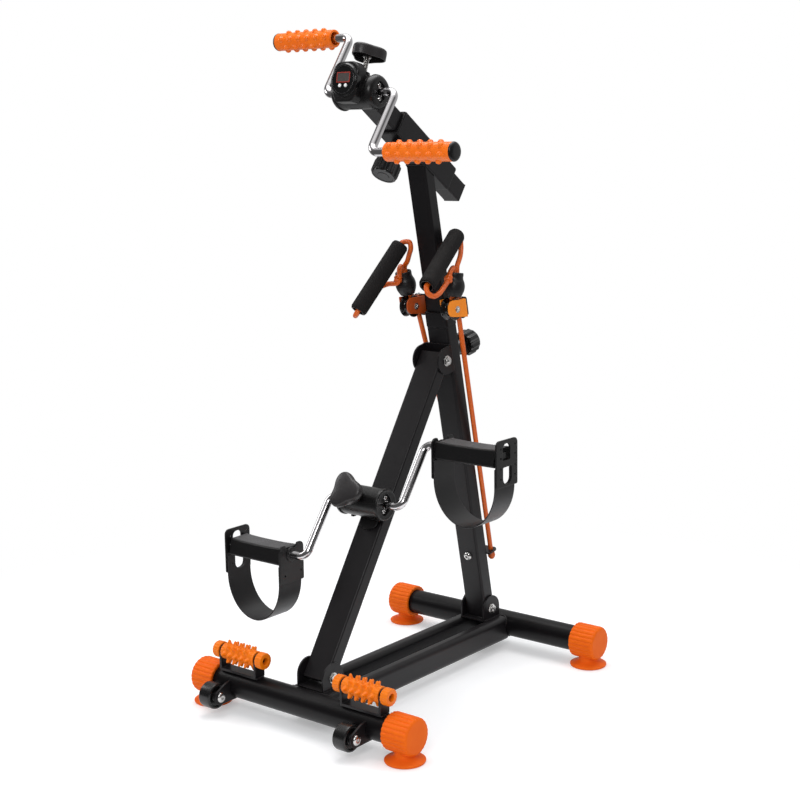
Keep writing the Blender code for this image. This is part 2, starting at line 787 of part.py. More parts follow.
def spikes(name):
    """All the cones of one roller in one mesh: rows along the roller, each other row half a pitch on."""
    shape = bmesh.new()
    foot = ROLLER_RADIUS - SPIKE_ROOT
    for row in range(SPIKE_ROWS):
        count = 4 if row % 2 else 5
        angle = math.tau * row / SPIKE_ROWS
        outward = Vector((0.0, math.cos(angle), math.sin(angle)))
        for index in range(count):
            x = (index - (count - 1) / 2) * SPIKE_PITCH
            middle = Vector((x, 0.0, 0.0)) + outward * (foot + SPIKE_TIP) / 2
            bmesh.ops.create_cone(
                shape,
                cap_ends=True,
                segments=4,
                radius1=SPIKE_BASE,
                radius2=SPIKE_POINT,
                depth=SPIKE_TIP - foot,
                matrix=Matrix.Translation(middle) @ toward(outward),
            )
    mesh = bpy.data.meshes.new(name)
    shape.to_mesh(mesh)
    shape.free()
    return keep(name, mesh)


def wheel_set(side):
    """A transport wheel on the bolt of its teardrop plate, which is welded to the front tube."""
    word = "right" if side > 0 else "left"
    x = side * WHEEL_PLATE_X
    arm = math.degrees(math.atan2(TUBE_HEIGHT - WHEEL_Z, -WHEEL_Y))
    loop = arc(WHEEL_BOSS, 90 + arm + WHEEL_SPREAD, 270 + arm - WHEEL_SPREAD, 10)
    loop.append(Vector((-WHEEL_Y, TUBE_HEIGHT - TUBE_RADIUS - WHEEL_Z)))
    loop.append(Vector((-WHEEL_Y, TUBE_HEIGHT + WHEEL_LIP - WHEEL_Z)))
    name = f"wheel_bracket_{word}"
    spot = (x, WHEEL_Y, WHEEL_Z)
    bracket = put(part(plate(name, [loop], WHEEL_PLATE, SIDEWAYS), "black_paint"), BASE, spot)
    tube = through_hole(name + "_tube", BASE, TUBE_RADIUS + SEAT, HALF_WIDTH, (0.0, 0.0, TUBE_HEIGHT), 24)
    wheel_x = -(WHEEL_PLATE / 2 + WHEEL_GAP)
    end = wheel_x - WHEEL_WIDTH - SEAT
    face = WHEEL_PLATE / 4
    head = 2 * face + WHEEL_HEAD
    stub = [
        (0.0, head), (BOLT_CROWN, head), (NUT_RADIUS, face), (WHEEL_COLLAR, face),
        (WHEEL_COLLAR, wheel_x + SEAT), (WHEEL_BOLT, wheel_x + SEAT), (WHEEL_BOLT, end),
        (NUT_RADIUS, end), (NUT_RADIUS, end - WHEEL_HEAD), (0.0, end - WHEEL_HEAD),
    ]
    join(bracket, put(turned(name + "_bolt", stub, (1, 0, 0), 12), BASE, spot))
    cut(bracket, tube)

    hub = pivot(f"wheel_spin_{word}", BASE, spot)
    bore = WHEEL_BOLT + RUN
    high, low = wheel_x, wheel_x - WHEEL_WIDTH
    ring = [
        (bore, high), (WHEEL_RADIUS - WHEEL_EDGE, high), (WHEEL_RADIUS, high - WHEEL_EDGE),
        (WHEEL_RADIUS, low + WHEEL_EDGE), (WHEEL_RADIUS - WHEEL_EDGE, low), (bore, low), (bore, high),
    ]
    return put(part(turned(f"transport_wheel_{word}", ring, (1, 0, 0), 20), "black_plastic"), hub)


def strut():
    low, high = -STRUT_END, STRUT_SPAN + STRUT_END
    item = box_tube("strut", STRUT_WIDTH, STRUT_DEPTH, STRUT_WALL, STRUT_CORNER, low, high)
    put(part(item, "black_paint"), STRUT)
    foot = through_hole("strut_foot_hole", STRUT, BOLT_RADIUS + RUN, STRUT_WIDTH)
    head = through_hole("strut_head_hole", STRUT, BOLT_RADIUS + RUN, STRUT_WIDTH, (0.0, 0.0, STRUT_SPAN))
    return cut(item, foot, head)


def lobed(mean, wave, lobes, count, phase=0.0):
    """An outline whose radius swells that many times round, the first time at the phase in degrees."""
    first = math.radians(phase)
    found = []
    for index in range(count):
        angle = math.tau * index / count
        radius = mean + wave * math.cos(lobes * (angle - first))
        found.append((radius * math.cos(angle), radius * math.sin(angle)))
    return found


def brake_shoe(name, parent, lean):
    """A felt-faced half ring that the knob's screw presses on the crank's rod."""
    inner = ROD_RADIUS + SEAT
    loop = arc(SHOE_OUTER, 20, 160, 8) + arc(inner, 160, 20, 8)
    item = plate(name, [loop], SHOE_WIDTH, SIDEWAYS)
    turn = math.radians(lean - LEANS[parent.name])
    return put(part(item, "felt"), parent, turn=(turn, 0.0, 0.0))


def screw_hole(name, parent):
    """A cutter for a tension knob's screw, from inside the barrel out through its wall."""
    start, end = SCREW_HOLE
    return put(drum(name, KNOB_STEM + RUN, (0, 0, start), (0, 0, end)), parent)


def foot_unit():
    """The lower barrel with its saddle, knob, crank and two pedals."""
    profile = [
        (0.0, FOOT_RIM_HALF), (FOOT_RIM - FOOT_RIM_ROUND, FOOT_RIM_HALF),
        (FOOT_RIM, FOOT_RIM_HALF - FOOT_RIM_ROUND), (FOOT_RIM, FOOT_BARREL_HALF),
        (FOOT_BARREL, FOOT_BARREL_HALF),
    ]
    profile += [(radius, -x) for radius, x in reversed(profile)]
    housing = put(part(turned("foot_housing", profile, (1, 0, 0), 24), "black_plastic"), FOOT_HUB)
    face = FOOT_HUB_OUT - STRUT_DEPTH / 2 - SEAT
    half = SADDLE_SIDE
    saddle = block("saddle", (-half, SADDLE_IN, -SADDLE_HALF), (half, face, SADDLE_HALF))
    pad = block("saddle_pad", (-half, face - SADDLE_PAD, -SADDLE_DOWN), (half, face, SADDLE_UP))
    join(housing, put(saddle, FOOT_HUB), put(pad, FOOT_HUB))
    cut(housing, through_hole("foot_cavity", FOOT_HUB, CAVITY, CAVITY_HALF))
    cut(housing, through_hole("foot_bore", FOOT_HUB, ROD_RADIUS + RUN, 2 * FOOT_RIM_HALF))
    cut(housing, screw_hole("foot_screw_hole", FOOT_KNOB))
    brake_shoe("foot_brake_shoe", FOOT_HUB, FOOT_KNOB_LEAN)

    outline = lobed(FOOT_KNOB_MEAN, FOOT_KNOB_WAVE, KNOB_LOBES, KNOB_POINTS)
    middle = FOOT_KNOB_FACE - FOOT_KNOB_THICK / 2
    knob = plate("foot_tension_knob", [outline], FOOT_KNOB_THICK, spot=(0, 0, middle))
    put(part(knob, "black_plastic"), FOOT_KNOB)
    bevel(knob, FOOT_KNOB_EDGE)
    taper = [
        (0.0, middle), (FOOT_KNOB_WIDE, middle), (FOOT_KNOB_NARROW, FOOT_BARREL + FOOT_KNOB_GAP),
        (KNOB_STEM, FOOT_BARREL + FOOT_KNOB_GAP), (KNOB_STEM, SHOE_OUTER + SEAT), (0.0, SHOE_OUTER + SEAT),
    ]
    combine(knob, put(turned("foot_knob_taper", taper), FOOT_KNOB), "UNION", "MANIFOLD")

    crank_rod("foot_crank", FOOT_CRANK, FOOT_CRANK_PLANE, FOOT_THROW, ROD_END)
    for word, side in (("right", 1), ("left", -1)):
        hub = pivot(f"pedal_spin_{word}", FOOT_CRANK, (side * PEDAL_MIDDLE, 0.0, side * FOOT_THROW))
        pedal(word, side, hub)


def crank_rod(name, parent, plane, throw, end):
    """One steel rod with a throw up on the right side and down on the left."""
    route = [
        (-end, 0, -throw), (-plane, 0, -throw), (-plane, 0, 0),
        (plane, 0, 0), (plane, 0, throw), (end, 0, throw),
    ]
    return put(part(rod(name, rounded(route, ROD_BEND, closed=False, steps=4), ROD_RADIUS), "chrome"), parent)


def pedal(word, side, hub):
    """Two side plates and the tread between them, with the strap's ribbon hanging below."""
    half = (PEDAL_OUTER - PEDAL_INNER) / 2
    slot = rounded(rectangle(SLOT_WIDTH, SLOT_HEIGHT, SLOT_CENTRE), SLOT_CORNER)
    x = side * (half - PEDAL_PLATE / 2)
    outlines = []
    for top in (PEDAL_INNER_TOP, PEDAL_TOP):
        corners = [
            (PEDAL_FRONT, PEDAL_BOTTOM), (PEDAL_REAR, PEDAL_BOTTOM), (PEDAL_REAR, top), (PEDAL_FRONT, top),
        ]
        outlines.append(rounded(corners, PEDAL_CORNER))
    item = plate(f"pedal_{word}", [outlines[0]], PEDAL_PLATE, SIDEWAYS, (-x, 0, 0))
    put(part(item, "black_plastic"), hub)
    outer = plate(f"pedal_{word}_outer", [outlines[1], slot], PEDAL_PLATE, SIDEWAYS, (x, 0, 0))
    tread_loop = [
        (-TREAD_FOOT, TREAD_BOTTOM), (TREAD_FOOT, TREAD_BOTTOM),
        (TREAD_CROWN, TREAD_TOP), (-TREAD_CROWN, TREAD_TOP),
    ]
    tread = plate(f"tread_{word}", [rounded(tread_loop, TREAD_CORNER)], 2 * half - PEDAL_PLATE, SIDEWAYS)
    moon = arc(MOON_RADIUS, 0, 180, 8, (0.0, MOON_HEIGHT), MOON_SQUASH)
    window = plate(f"pedal_{word}_moon", [moon], 3 * PEDAL_PLATE, SIDEWAYS, (x, 0, 0))
    depth = ROD_END + ROD_END_PLAY - PEDAL_MIDDLE
    bore = drum(f"pedal_{word}_bore", ROD_RADIUS + RUN, (side * depth, 0, 0), (-2 * x, 0, 0), 20)
    join(item, put(tread, hub), put(outer, hub))
    cut(item, put(window, hub), put(bore, hub))

    reach = half - PEDAL_PLATE - SEAT
    leg = -PEDAL_BOTTOM
    curve = STRAP_DROP - leg
    outside = arc(reach, 180, 360, 14, (0.0, -leg), curve / reach)
    inner_reach = reach - STRAP_THICK
    inside = arc(inner_reach, 0, -180, 14, (0.0, -leg), (curve - STRAP_THICK) / inner_reach)
    loop = [Vector((-reach, STRAP_TOP))] + outside + [Vector((reach, STRAP_TOP))]
    loop += [Vector((inner_reach, STRAP_TOP))] + inside + [Vector((-inner_reach, STRAP_TOP))]
    strap = put(part(plate(f"pedal_strap_{word}", [loop], STRAP_WIDTH, FRONTAL), "black_plastic"), hub)
    outside_leg = (side * half, 0, 0)
    return cut(strap, put(plate(f"pedal_{word}_slot", [slot], half, SIDEWAYS, outside_leg), hub))


def lower_post():
    """The outer post tube with the hinge bracket on its front and the clamp nut on its back."""
    low = -POST_DROP - POST_TAIL
    item = box_tube("lower_post", POST_WIDTH, POST_DEPTH, POST_WALL, POST_CORNER, low, POST_TOP)
    put(part(item, "black_paint"), POST, (0.0, POST_SETBACK, 0.0))
    inner = STRUT_WIDTH / 2 + BRACKET_PLAY
    outer = inner + BRACKET_WALL
    face = POST_SETBACK - POST_DEPTH / 2
    back = face - BRACKET_PLATE
    front = -2 * HINGE_CHEEK
    section = [
        (-outer, face + WELD), (outer, face + WELD), (outer, front), (inner, front),
        (inner, back), (-inner, back), (-inner, front), (-outer, front),
    ]
    bracket = put(plate("hinge_bracket", [section], 3 * HINGE_CHEEK), POST)
    cheek = arc(HINGE_CHEEK, 90, 270, 14)
    cheek += [Vector((2 * face, -HINGE_CHEEK)), Vector((2 * face, HINGE_CHEEK))]
    combine(bracket, put(plate("hinge_bracket_side", [cheek], 3 * outer, SIDEWAYS), POST), "INTERSECT")
    rear = POST_SETBACK + POST_DEPTH / 2
    end = rear + LOCK_BOSS_LENGTH
    boss = drum("lock_boss", LOCK_BOSS, (0, rear - WELD, LOCK_HEIGHT), (0, end, LOCK_HEIGHT))
    head = [
        (0.0, BOLT_HEAD_HEIGHT), (BOLT_CROWN, BOLT_RISE), (NUT_RADIUS, BOLT_SHOULDER),
        (NUT_RADIUS, -WELD), (0.0, -WELD),
    ]
    bolt_head = turned("anchor_bolt_head", head, (0, -1, 0), 12)
    join(item, bracket, put(boss, POST), put(bolt_head, POST, (0, face, ANCHOR_BOLT_HEIGHT)))
    hinge_hole = through_hole("hinge_hole", POST, BOLT_RADIUS + SEAT, 2 * outer)
    foot_spot = (0.0, POST_SETBACK, -POST_DROP)
    foot_hole = through_hole("post_foot_hole", POST, BOLT_RADIUS + RUN, POST_WIDTH, foot_spot)
    start = (0, POST_SETBACK, LOCK_HEIGHT)
    screw = drum("lock_hole", LOCK_STEM + RUN, start, (0, rear + LOCK_HOLE, LOCK_HEIGHT))
    return cut(item, hinge_hole, foot_hole, put(screw, POST))


def lock_knob(name, parent, spot, turn, tip):
    """A fluted clamp knob. Local Z runs out from the tube's face, and the screw's tip lies below it."""
    hub = pivot(name + "_turn", parent, spot, turn)
    low = LOCK_STANDOFF
    outline = lobed(LOCK_RADIUS - LOCK_WAVE, LOCK_WAVE, LOCK_FLUTES, 2 * LOCK_FLUTES)
    knob = plate(name, [outline], LOCK_LENGTH, spot=(0, 0, low + LOCK_LENGTH / 2))
    put(part(knob, "black_plastic"), hub)
    bevel(knob, LOCK_EDGE, angle=60.0)
    start = (0, 0, LOCK_BOSS_LENGTH + SEAT)
    neck = drum(name + "_neck", LOCK_NECK, start, (0, 0, low + WELD), 20, LOCK_NECK_WIDE)
    screw = drum(name + "_screw", LOCK_STEM, (0, 0, -tip + SEAT), (0, 0, low))
    return join(knob, put(neck, hub), put(screw, hub))


def band_anchor():
    """A welded plate on the back of the post with a hole for each band."""
    rear = POST_SETBACK + POST_DEPTH / 2 + SEAT
    half = ANCHOR_X + ANCHOR_MARGIN
    far = rear + ANCHOR_REACH + ANCHOR_MARGIN
    corners = [(-half, rear), (half, rear), (half, far), (-half, far)]
    loops = [rounded(corners, ANCHOR_CORNER)]
    for side in (-1, 1):
        loops.append(arc(BAND_RADIUS + 2 * SEAT, 0, 330, 11, (side * ANCHOR_X, rear + ANCHOR_REACH)))
    item = plate("band_anchor", loops, ANCHOR_PLATE, spot=(0, 0, ANCHOR_HEIGHT))
    put(part(item, "black_paint"), POST)
    low = (-ANCHOR_FLANGE, rear, ANCHOR_HEIGHT)
    high = (ANCHOR_FLANGE, rear + ANCHOR_FLANGE_WALL, ANCHOR_HEIGHT + ANCHOR_FLANGE_HEIGHT)
    return join(item, put(block("anchor_flange", low, high), POST))


def pulley_yoke():
    """The collar on top of the outer tube, which guides the inner one and carries an ear on each side."""
    outer = rounded(rectangle(POST_WIDTH, POST_DEPTH), POST_CORNER)
    inner = rounded(rectangle(UPPER_WIDTH + 2 * SEAT, UPPER_DEPTH + 2 * SEAT), UPPER_CORNER)
    middle = (COLLAR_BOTTOM + COLLAR_TOP) / 2
    collar = part(plate("pulley_yoke", [outer, inner], COLLAR_HEIGHT), "black_paint")
    put(collar, POST, (0, POST_SETBACK, middle))
    reach = PULLEY_X + PULLEY_WIDTH / 2 + PULLEY_PLAY + PULLEY_CHEEK
    root = POST_WIDTH / 2
    top = PULLEY_UP + EAR_TOP
    for word, side in (("right", 1), ("left", -1)):
        loop = [
            (root - EAR_ROOT, COLLAR_TOP - EAR_LOW), (PULLEY_X, COLLAR_TOP - EAR_DIP),
            (reach, COLLAR_TOP - EAR_HEEL), (reach, top), (root + EAR_HEEL, top),
            (root + EAR_STEP, COLLAR_TOP), (root - EAR_ROOT, COLLAR_TOP - EAR_ROOT),
        ]
        loop = [(side * x, z) for x, z in loop]
        y = POST_SETBACK + EAR_BEHIND + EAR_PLATE / 2
        join(collar, put(plate(f"ear_{word}", [loop], EAR_PLATE, FRONTAL, (0, y, 0)), POST))
    return collar


def pulley_set(word, side):
    """A pulley in its orange bracket, whose rivet is the axle. Only the bracket's back leans with the post."""
    axle = (side * PULLEY_X, PULLEY_SPOT_Y, PULLEY_UP)
    inner = PULLEY_WIDTH / 2 + PULLEY_PLAY
    outer = inner + PULLEY_CHEEK
    back = PULLEY_FORWARD + EAR_BEHIND - SEAT
    front = -PULLEY_CHEEK_FRONT
    section = [
        (-outer, back), (outer, back), (outer, front), (inner, front),
        (inner, back - PULLEY_CHEEK), (-inner, back - PULLEY_CHEEK), (-inner, -PULLEY_CHEEK_SHORT),
        (-outer, -PULLEY_CHEEK_SHORT),
    ]
    bracket = plate(f"pulley_bracket_{word}", [section], 2 * (PULLEY_CHEEK_TOP + PULLEY_CHEEK_BOTTOM))
    put(part(bracket, "orange_paint"), POST, axle)
    corners = [
        (2 * back, -PULLEY_CHEEK_BOTTOM), (2 * back, PULLEY_CHEEK_TOP),
        (front, PULLEY_CHEEK_TOP), (front, -PULLEY_CHEEK_BOTTOM),
    ]
    trim = plate(f"pulley_bracket_{word}_side", [rounded(corners, PULLEY_CHEEK_CORNER)], 3 * outer, SIDEWAYS)
    combine(bracket, put(trim, POST, axle, (math.radians(-POST_LEAN), 0.0, 0.0)), "INTERSECT")
    half_pin = [
        (0.0, outer + PIN_RISE), (PIN_CROWN, outer + PIN_RISE), (PIN_HEAD, outer - PIN_SINK),
        (PULLEY_AXLE, outer - PIN_SINK),
    ]
    pin = half_pin + [(radius, -x) for radius, x in reversed(half_pin)]
    join(bracket, put(turned(f"pulley_pin_{word}", pin, (1, 0, 0), 12), POST, axle))

    hub = pivot(f"pulley_spin_{word}", POST, axle, POST_LEAN)
    half = PULLEY_WIDTH / 2
    bore = PULLEY_AXLE + RUN
    half_ring = [
        (bore, half), (PULLEY_RADIUS - PULLEY_RIM, half), (PULLEY_RADIUS, half - PULLEY_RIM),
        (PULLEY_GROOVE, PULLEY_FLOOR),
    ]
    ring = half_ring + [(radius, -x) for radius, x in reversed(half_ring)] + half_ring[:1]
    return put(part(turned(f"pulley_{word}", ring, (1, 0, 0), 20), "black_plastic"), hub)


def band(word, facts):
    """The pull band, stretched from its knot under the anchor up round the pulley to the stopper."""
    side = facts["sign"]
    lean = math.radians(POST_LEAN)
    rear = POST_SETBACK + POST_DEPTH / 2 + SEAT
    hole = Vector((side * ANCHOR_X, rear + ANCHOR_REACH, ANCHOR_HEIGHT))
    wrap_radius = PULLEY_GROOVE + BAND_RADIUS + 2 * SEAT
    axle = Vector((side * PULLEY_X, PULLEY_SPOT_Y, PULLEY_UP))
    stopper = facts["stopper"] + Vector((side * (STOPPER_X - PULLEY_X), 0.0, 0.0))
    upright = Matrix.Rotation(-lean, 3, "X")
    mouth, socket = (
        axle + upright @ (stopper + facts["upward"] * rise)
        for rise in (STOPPER_FLOOR, STOPPER_SOCKET - SEAT)
    )
    route = [hole + Vector((0.0, 0.0, -drop)) for drop, swell in KNOT]
    sizes = [swell for drop, swell in KNOT]
    above = hole + Vector((0.0, 0.0, ANCHOR_PLATE))
    straight = axle + Vector((0.0, wrap_radius, -BAND_RADIUS))
    route += [above.lerp(straight, step / BAND_STEPS) for step in range(BAND_STEPS + 1)]
    for step in range(WRAP_STEPS + 1):
        angle = math.radians(facts["wrap"]) * step / WRAP_STEPS
        route.append(axle + Vector((0.0, wrap_radius * math.cos(angle), wrap_radius * math.sin(angle))))
    route += [mouth, socket]
    sizes += [1.0] * (len(route) - len(sizes))
    return put(part(rod(f"band_{word}", route, BAND_RADIUS, 3, sizes), "orange_rubber"), POST)


def spline(points, steps):
    """Points of a smooth curve through the given ones."""
    ends = [points[0] * 2 - points[1]] + points + [points[-1] * 2 - points[-2]]
    found = []
    for index in range(1, len(ends) - 2):
        a, b, c, d = ends[index - 1:index + 3]
        for step in range(steps):
            t = step / steps
            bend = (2 * a - 5 * b + 4 * c - d) * t**2 + (3 * b - a - 3 * c + d) * t**3
            found.append(b + (c - a) * t / 2 + bend / 2)
    return found + [points[-1]]


def pull_set(word, facts):
    """The rubber stopper on the pulley, the foam handle and the cord loop that holds it."""
    side = facts["sign"]
    hub = pivot(f"pull_{word}", POST, (side * PULLEY_X, PULLEY_SPOT_Y, PULLEY_UP), 0.0)
    seat = facts["stopper"] + Vector((side * (STOPPER_X - PULLEY_X), 0.0, 0.0))
    profile = [(0.0, STOPPER_HEIGHT), (STOPPER_TOP, STOPPER_HEIGHT)] + list(STOPPER_NECK)
    profile += [(STOPPER_RADIUS, rise) for rise in STOPPER_BELLY] + list(STOPPER_BOWL)
    bore = BAND_RADIUS + SEAT
    profile += [
        (STOPPER_FOOT, 0.0), (STOPPER_MOUTH, 0.0), (bore, STOPPER_THROAT), (bore, STOPPER_SOCKET),
        (0.0, STOPPER_SOCKET),
    ]
    put(part(turned(f"stopper_{word}", profile, facts["upward"]), "black_foam"), hub, seat)

    low, high = facts["handle"]
    along = (high - low).normalized()
    half = (high - low).length / 2
    half_ring = [
        (HANDLE_BORE, half), (HANDLE_RADIUS - HANDLE_EDGE, half), (HANDLE_RADIUS, half - HANDLE_EDGE),
    ]
    ring = half_ring + [(radius, -z) for radius, z in reversed(half_ring)] + half_ring[:1]
    put(part(turned(f"handle_{word}", ring, along, 16), "black_foam"), hub, (low + high) / 2)

    top = seat + facts["upward"] * STOPPER_HEIGHT + Vector((0.0, 0.0, LOOP_CLEAR))
    points = [top + Vector((0.0, LOOP_GAP, LOOP_RISE))]
    points += [Vector(point) for point in facts["route_up"]]
    points += [high + along * LOOP_LEAD]
    first = spline(points, 3)
    back = [low - along * LOOP_LEAD] + [Vector(point) for point in facts["route_down"]]
    back += [top + Vector((0.0, -LOOP_GAP, LOOP_RISE))]
    route = [top + Vector((0.0, LOOP_GAP, 0.0))] + first + [high, low.lerp(high, 0.5), low]
    route += spline(back, 3) + [top + Vector((0.0, -LOOP_GAP, 0.0))]
    return put(part(rod(f"pull_loop_{word}", route, LOOP_RADIUS, 2), "orange_rubber"), hub)


def upper_post():
    """The inner tube, with the square sleeve for the arm welded across its top."""
    side = SLEEVE_SIDE / 2
    item = box_tube("upper_post", UPPER_WIDTH, UPPER_DEPTH, UPPER_WALL, UPPER_CORNER, UPPER_BOTTOM, SLEEVE_UP)
    put(part(item, "black_paint"), UPPER, (0.0, 0.0, -COLLAR_TOP))
    sleeve = block("arm_sleeve", (-side, -SLEEVE_LENGTH / 2, -side), (side, SLEEVE_LENGTH / 2, side))
    bevel(sleeve, SLEEVE_EDGE)
    start = (0, SLEEVE_KNOB_Y, -side + WELD)
    boss = drum("sleeve_boss", LOCK_BOSS, start, (0, SLEEVE_KNOB_Y, -side - LOCK_BOSS_LENGTH))
    join(item, put(sleeve, SLEEVE), put(boss, SLEEVE))
    width, height = ARM_WIDTH / 2 + SLEEVE_PLAY, ARM_HEIGHT / 2 + SLEEVE_PLAY
    bore = block("sleeve_bore", (-width, -SLEEVE_LENGTH, -height), (width, SLEEVE_LENGTH, height))
    hole = drum("sleeve_hole", LOCK_STEM + RUN, (0, SLEEVE_KNOB_Y, 0), (0, SLEEVE_KNOB_Y, -2 * side))
    return cut(item, put(bore, SLEEVE), put(hole, SLEEVE))


def arm():
    wide, high = ARM_WIDTH, ARM_HEIGHT
    outer = rounded(rectangle(wide, high), ARM_CORNER)
    inner = rounded(rectangle(wide - 2 * ARM_WALL, high - 2 * ARM_WALL), ARM_CORNER / 2)
    length = ARM_FRONT + ARM_REAR
    item = plate("arm", [outer, inner], length, FRONTAL, (0, (ARM_REAR - ARM_FRONT) / 2, 0))
    return put(part(item, "black_paint"), ARM)


def hand_unit():
    """The upper barrel on the arm's front end, with its knob, display, crank and two grips."""
    profile = [(0.0, HAND_DOME)] + [(radius, HAND_DOME - drop) for radius, drop in HAND_DOME_EDGE]
    profile += [
        (HAND_RIM, HAND_RIM_HALF), (HAND_RIM, HAND_RIM_HALF - HAND_RIM_WIDTH),
        (HAND_BARREL, HAND_RIM_HALF - HAND_RIM_WIDTH),
    ]
    profile += [(radius, -x) for radius, x in reversed(profile)]
    housing = put(part(turned("upper_housing", profile, (1, 0, 0), 24), "black_plastic"), HAND_HUB)
    start = HAND_HUB_FORWARD - ARM_FRONT - SEAT
    wide, high = NECK_WIDTH / 2, NECK_HEIGHT / 2
    rise = HAND_HUB_DROP
    neck = block("neck", (-wide, NECK_IN, rise - high), (wide, start, rise + high))
    bevel(neck, NECK_EDGE)
    tongue_x = ARM_WIDTH / 2 - ARM_WALL - SEAT
    tongue_z = ARM_HEIGHT / 2 - ARM_WALL - SEAT
    low = (-tongue_x, start - NECK_EDGE, rise - tongue_z)
    tongue = block("tongue", low, (tongue_x, start + TONGUE, rise + tongue_z))
    bevel(tongue, TONGUE_EDGE)
    low, high = HAND_BARREL - HAND_BOSS_HEIGHT, HAND_BARREL + HAND_BOSS_HEIGHT
    boss = drum("hand_boss", HAND_BOSS, (0, 0, low), (0, 0, high))
    join(housing, put(neck, HAND_HUB), put(tongue, HAND_HUB), put(boss, HAND_KNOB))
    cut(housing, through_hole("hand_cavity", HAND_HUB, HAND_CAVITY, CAVITY_HALF))
    cut(housing, through_hole("hand_bore", HAND_HUB, ROD_RADIUS + RUN, 2 * HAND_DOME))
    cut(housing, screw_hole("hand_screw_hole", HAND_KNOB))
    brake_shoe("hand_brake_shoe", HAND_HUB, HAND_KNOB_LEAN)

    thick = HAND_KNOB_TOP - HAND_KNOB_BASE
    middle = (HAND_KNOB_TOP + HAND_KNOB_BASE) / 2
    outline = lobed(HAND_KNOB_MEAN, HAND_KNOB_WAVE, KNOB_LOBES, KNOB_POINTS, HAND_KNOB_PHASE)
    knob = plate("hand_tension_knob", [outline], thick, spot=(0, 0, middle))
    put(part(knob, "black_plastic"), HAND_KNOB)
    bevel(knob, HAND_KNOB_EDGE)
    stem = drum("hand_knob_stem", KNOB_STEM, (0, 0, SHOE_OUTER + SEAT), (0, 0, middle))
    join(knob, put(stem, HAND_KNOB))

    display()
    crank_rod("hand_crank", HAND_CRANK, HAND_CRANK_PLANE, HAND_THROW, GRIP_OUTER - GRIP_END - ROD_END_PLAY)
    length = GRIP_OUTER - GRIP_INNER
    bore = ROD_RADIUS + RUN
    crown, edge, side_start = (length - drop for drop in GRIP_CAP_ROUND)
    shape = [
        (0.0, length), (GRIP_CAP_CROWN, crown), (GRIP_CAP_RADIUS - GRIP_CAP_EDGE, edge),
        (GRIP_CAP_RADIUS, side_start), (GRIP_CAP_RADIUS, length - GRIP_CAP_LENGTH),
        (GRIP_RADIUS, length - GRIP_CAP_LENGTH - GRIP_CAP_EDGE), (GRIP_RADIUS, 0.0), (bore, 0.0),
        (bore, length - GRIP_END), (0.0, length - GRIP_END),
    ]
    for word, side in (("right", 1), ("left", -1)):
        hub = pivot(f"grip_spin_{word}", HAND_CRANK, (side * GRIP_INNER, 0.0, side * HAND_THROW))
        put(part(turned(f"grip_{word}", shape, (side, 0, 0), 16), "orange_plastic"), hub)


def display():
    """The display's case on the front of the barrel, with its two push buttons."""
    back = HAND_BARREL + SEAT
    chin = DISPLAY_BOTTOM + DISPLAY_CHIN
    corners = [
        (-DISPLAY_CHIN, DISPLAY_BOTTOM), (DISPLAY_CHIN, DISPLAY_BOTTOM), (DISPLAY_HALF, chin),
        (DISPLAY_HALF, DISPLAY_TOP), (-DISPLAY_HALF, DISPLAY_TOP), (-DISPLAY_HALF, chin),
    ]
    y = -(back + DISPLAY_FACE) / 2
    case = plate("display_case", [rounded(corners, DISPLAY_CORNER)], DISPLAY_FACE - back, FRONTAL, (0, y, 0))
    put(part(case, "black_plastic"), DISPLAY)
    bevel(case, DISPLAY_EDGE)
    inner = DISPLAY_FACE + BUTTON_PROUD - BUTTON_LENGTH
    floor = inner - BUTTON_TRAVEL - SEAT
    for word, side in (("right", 1), ("left", -1)):
        x = side * BUTTON_X
        outside = (x, -2 * DISPLAY_FACE, BUTTON_Z)
        hole = drum(f"button_{word}_hole", BUTTON_RADIUS + SEAT, (x, -floor, BUTTON_Z), outside)
        cut(case, put(hole, DISPLAY))
        face = (x, -inner - BUTTON_LENGTH, BUTTON_Z)
        button = drum(f"button_{word}", BUTTON_RADIUS, (x, -inner, BUTTON_Z), face)
        put(part(button, "white_plastic"), DISPLAY)


# Pivots, from the floor up: each leans with the piece that it carries
BASE = pivot("base", None, (0.0, -MIDDLE, 0.0))
STRUT = pivot("strut_fold", BASE, STRUT_FOOT, STRUT_LEAN)
POST = pivot("post_fold", STRUT, (0.0, 0.0, STRUT_SPAN), POST_LEAN)
UPPER = pivot("post_slide", POST, (0.0, POST_SETBACK, COLLAR_TOP), POST_LEAN)
SLEEVE = pivot("sleeve", UPPER, (0.0, 0.0, SLEEVE_UP - COLLAR_TOP), -ARM_SLOPE)
ARM = pivot("arm_slide", SLEEVE, (0.0, 0.0, 0.0), -ARM_SLOPE)
FOOT_HUB = pivot("foot_hub", STRUT, (0.0, -FOOT_HUB_OUT, FOOT_HUB_UP), STRUT_LEAN)
FOOT_KNOB = pivot("foot_knob_turn", FOOT_HUB, (0.0, 0.0, 0.0), FOOT_KNOB_LEAN)
FOOT_CRANK = pivot("foot_crank_turn", FOOT_HUB, (0.0, 0.0, 0.0), FOOT_CRANK_LEAN)
HAND_HUB = pivot("hand_hub", ARM, (0.0, -HAND_HUB_FORWARD, -HAND_HUB_DROP), -ARM_SLOPE)
HAND_KNOB = pivot("hand_knob_turn", HAND_HUB, (0.0, 0.0, 0.0), HAND_KNOB_LEAN)
HAND_CRANK = pivot("hand_crank_turn", HAND_HUB, (0.0, 0.0, 0.0), HAND_CRANK_LEAN)
DISPLAY = pivot("display", HAND_HUB, (0.0, 0.0, 0.0), DISPLAY_LEAN)

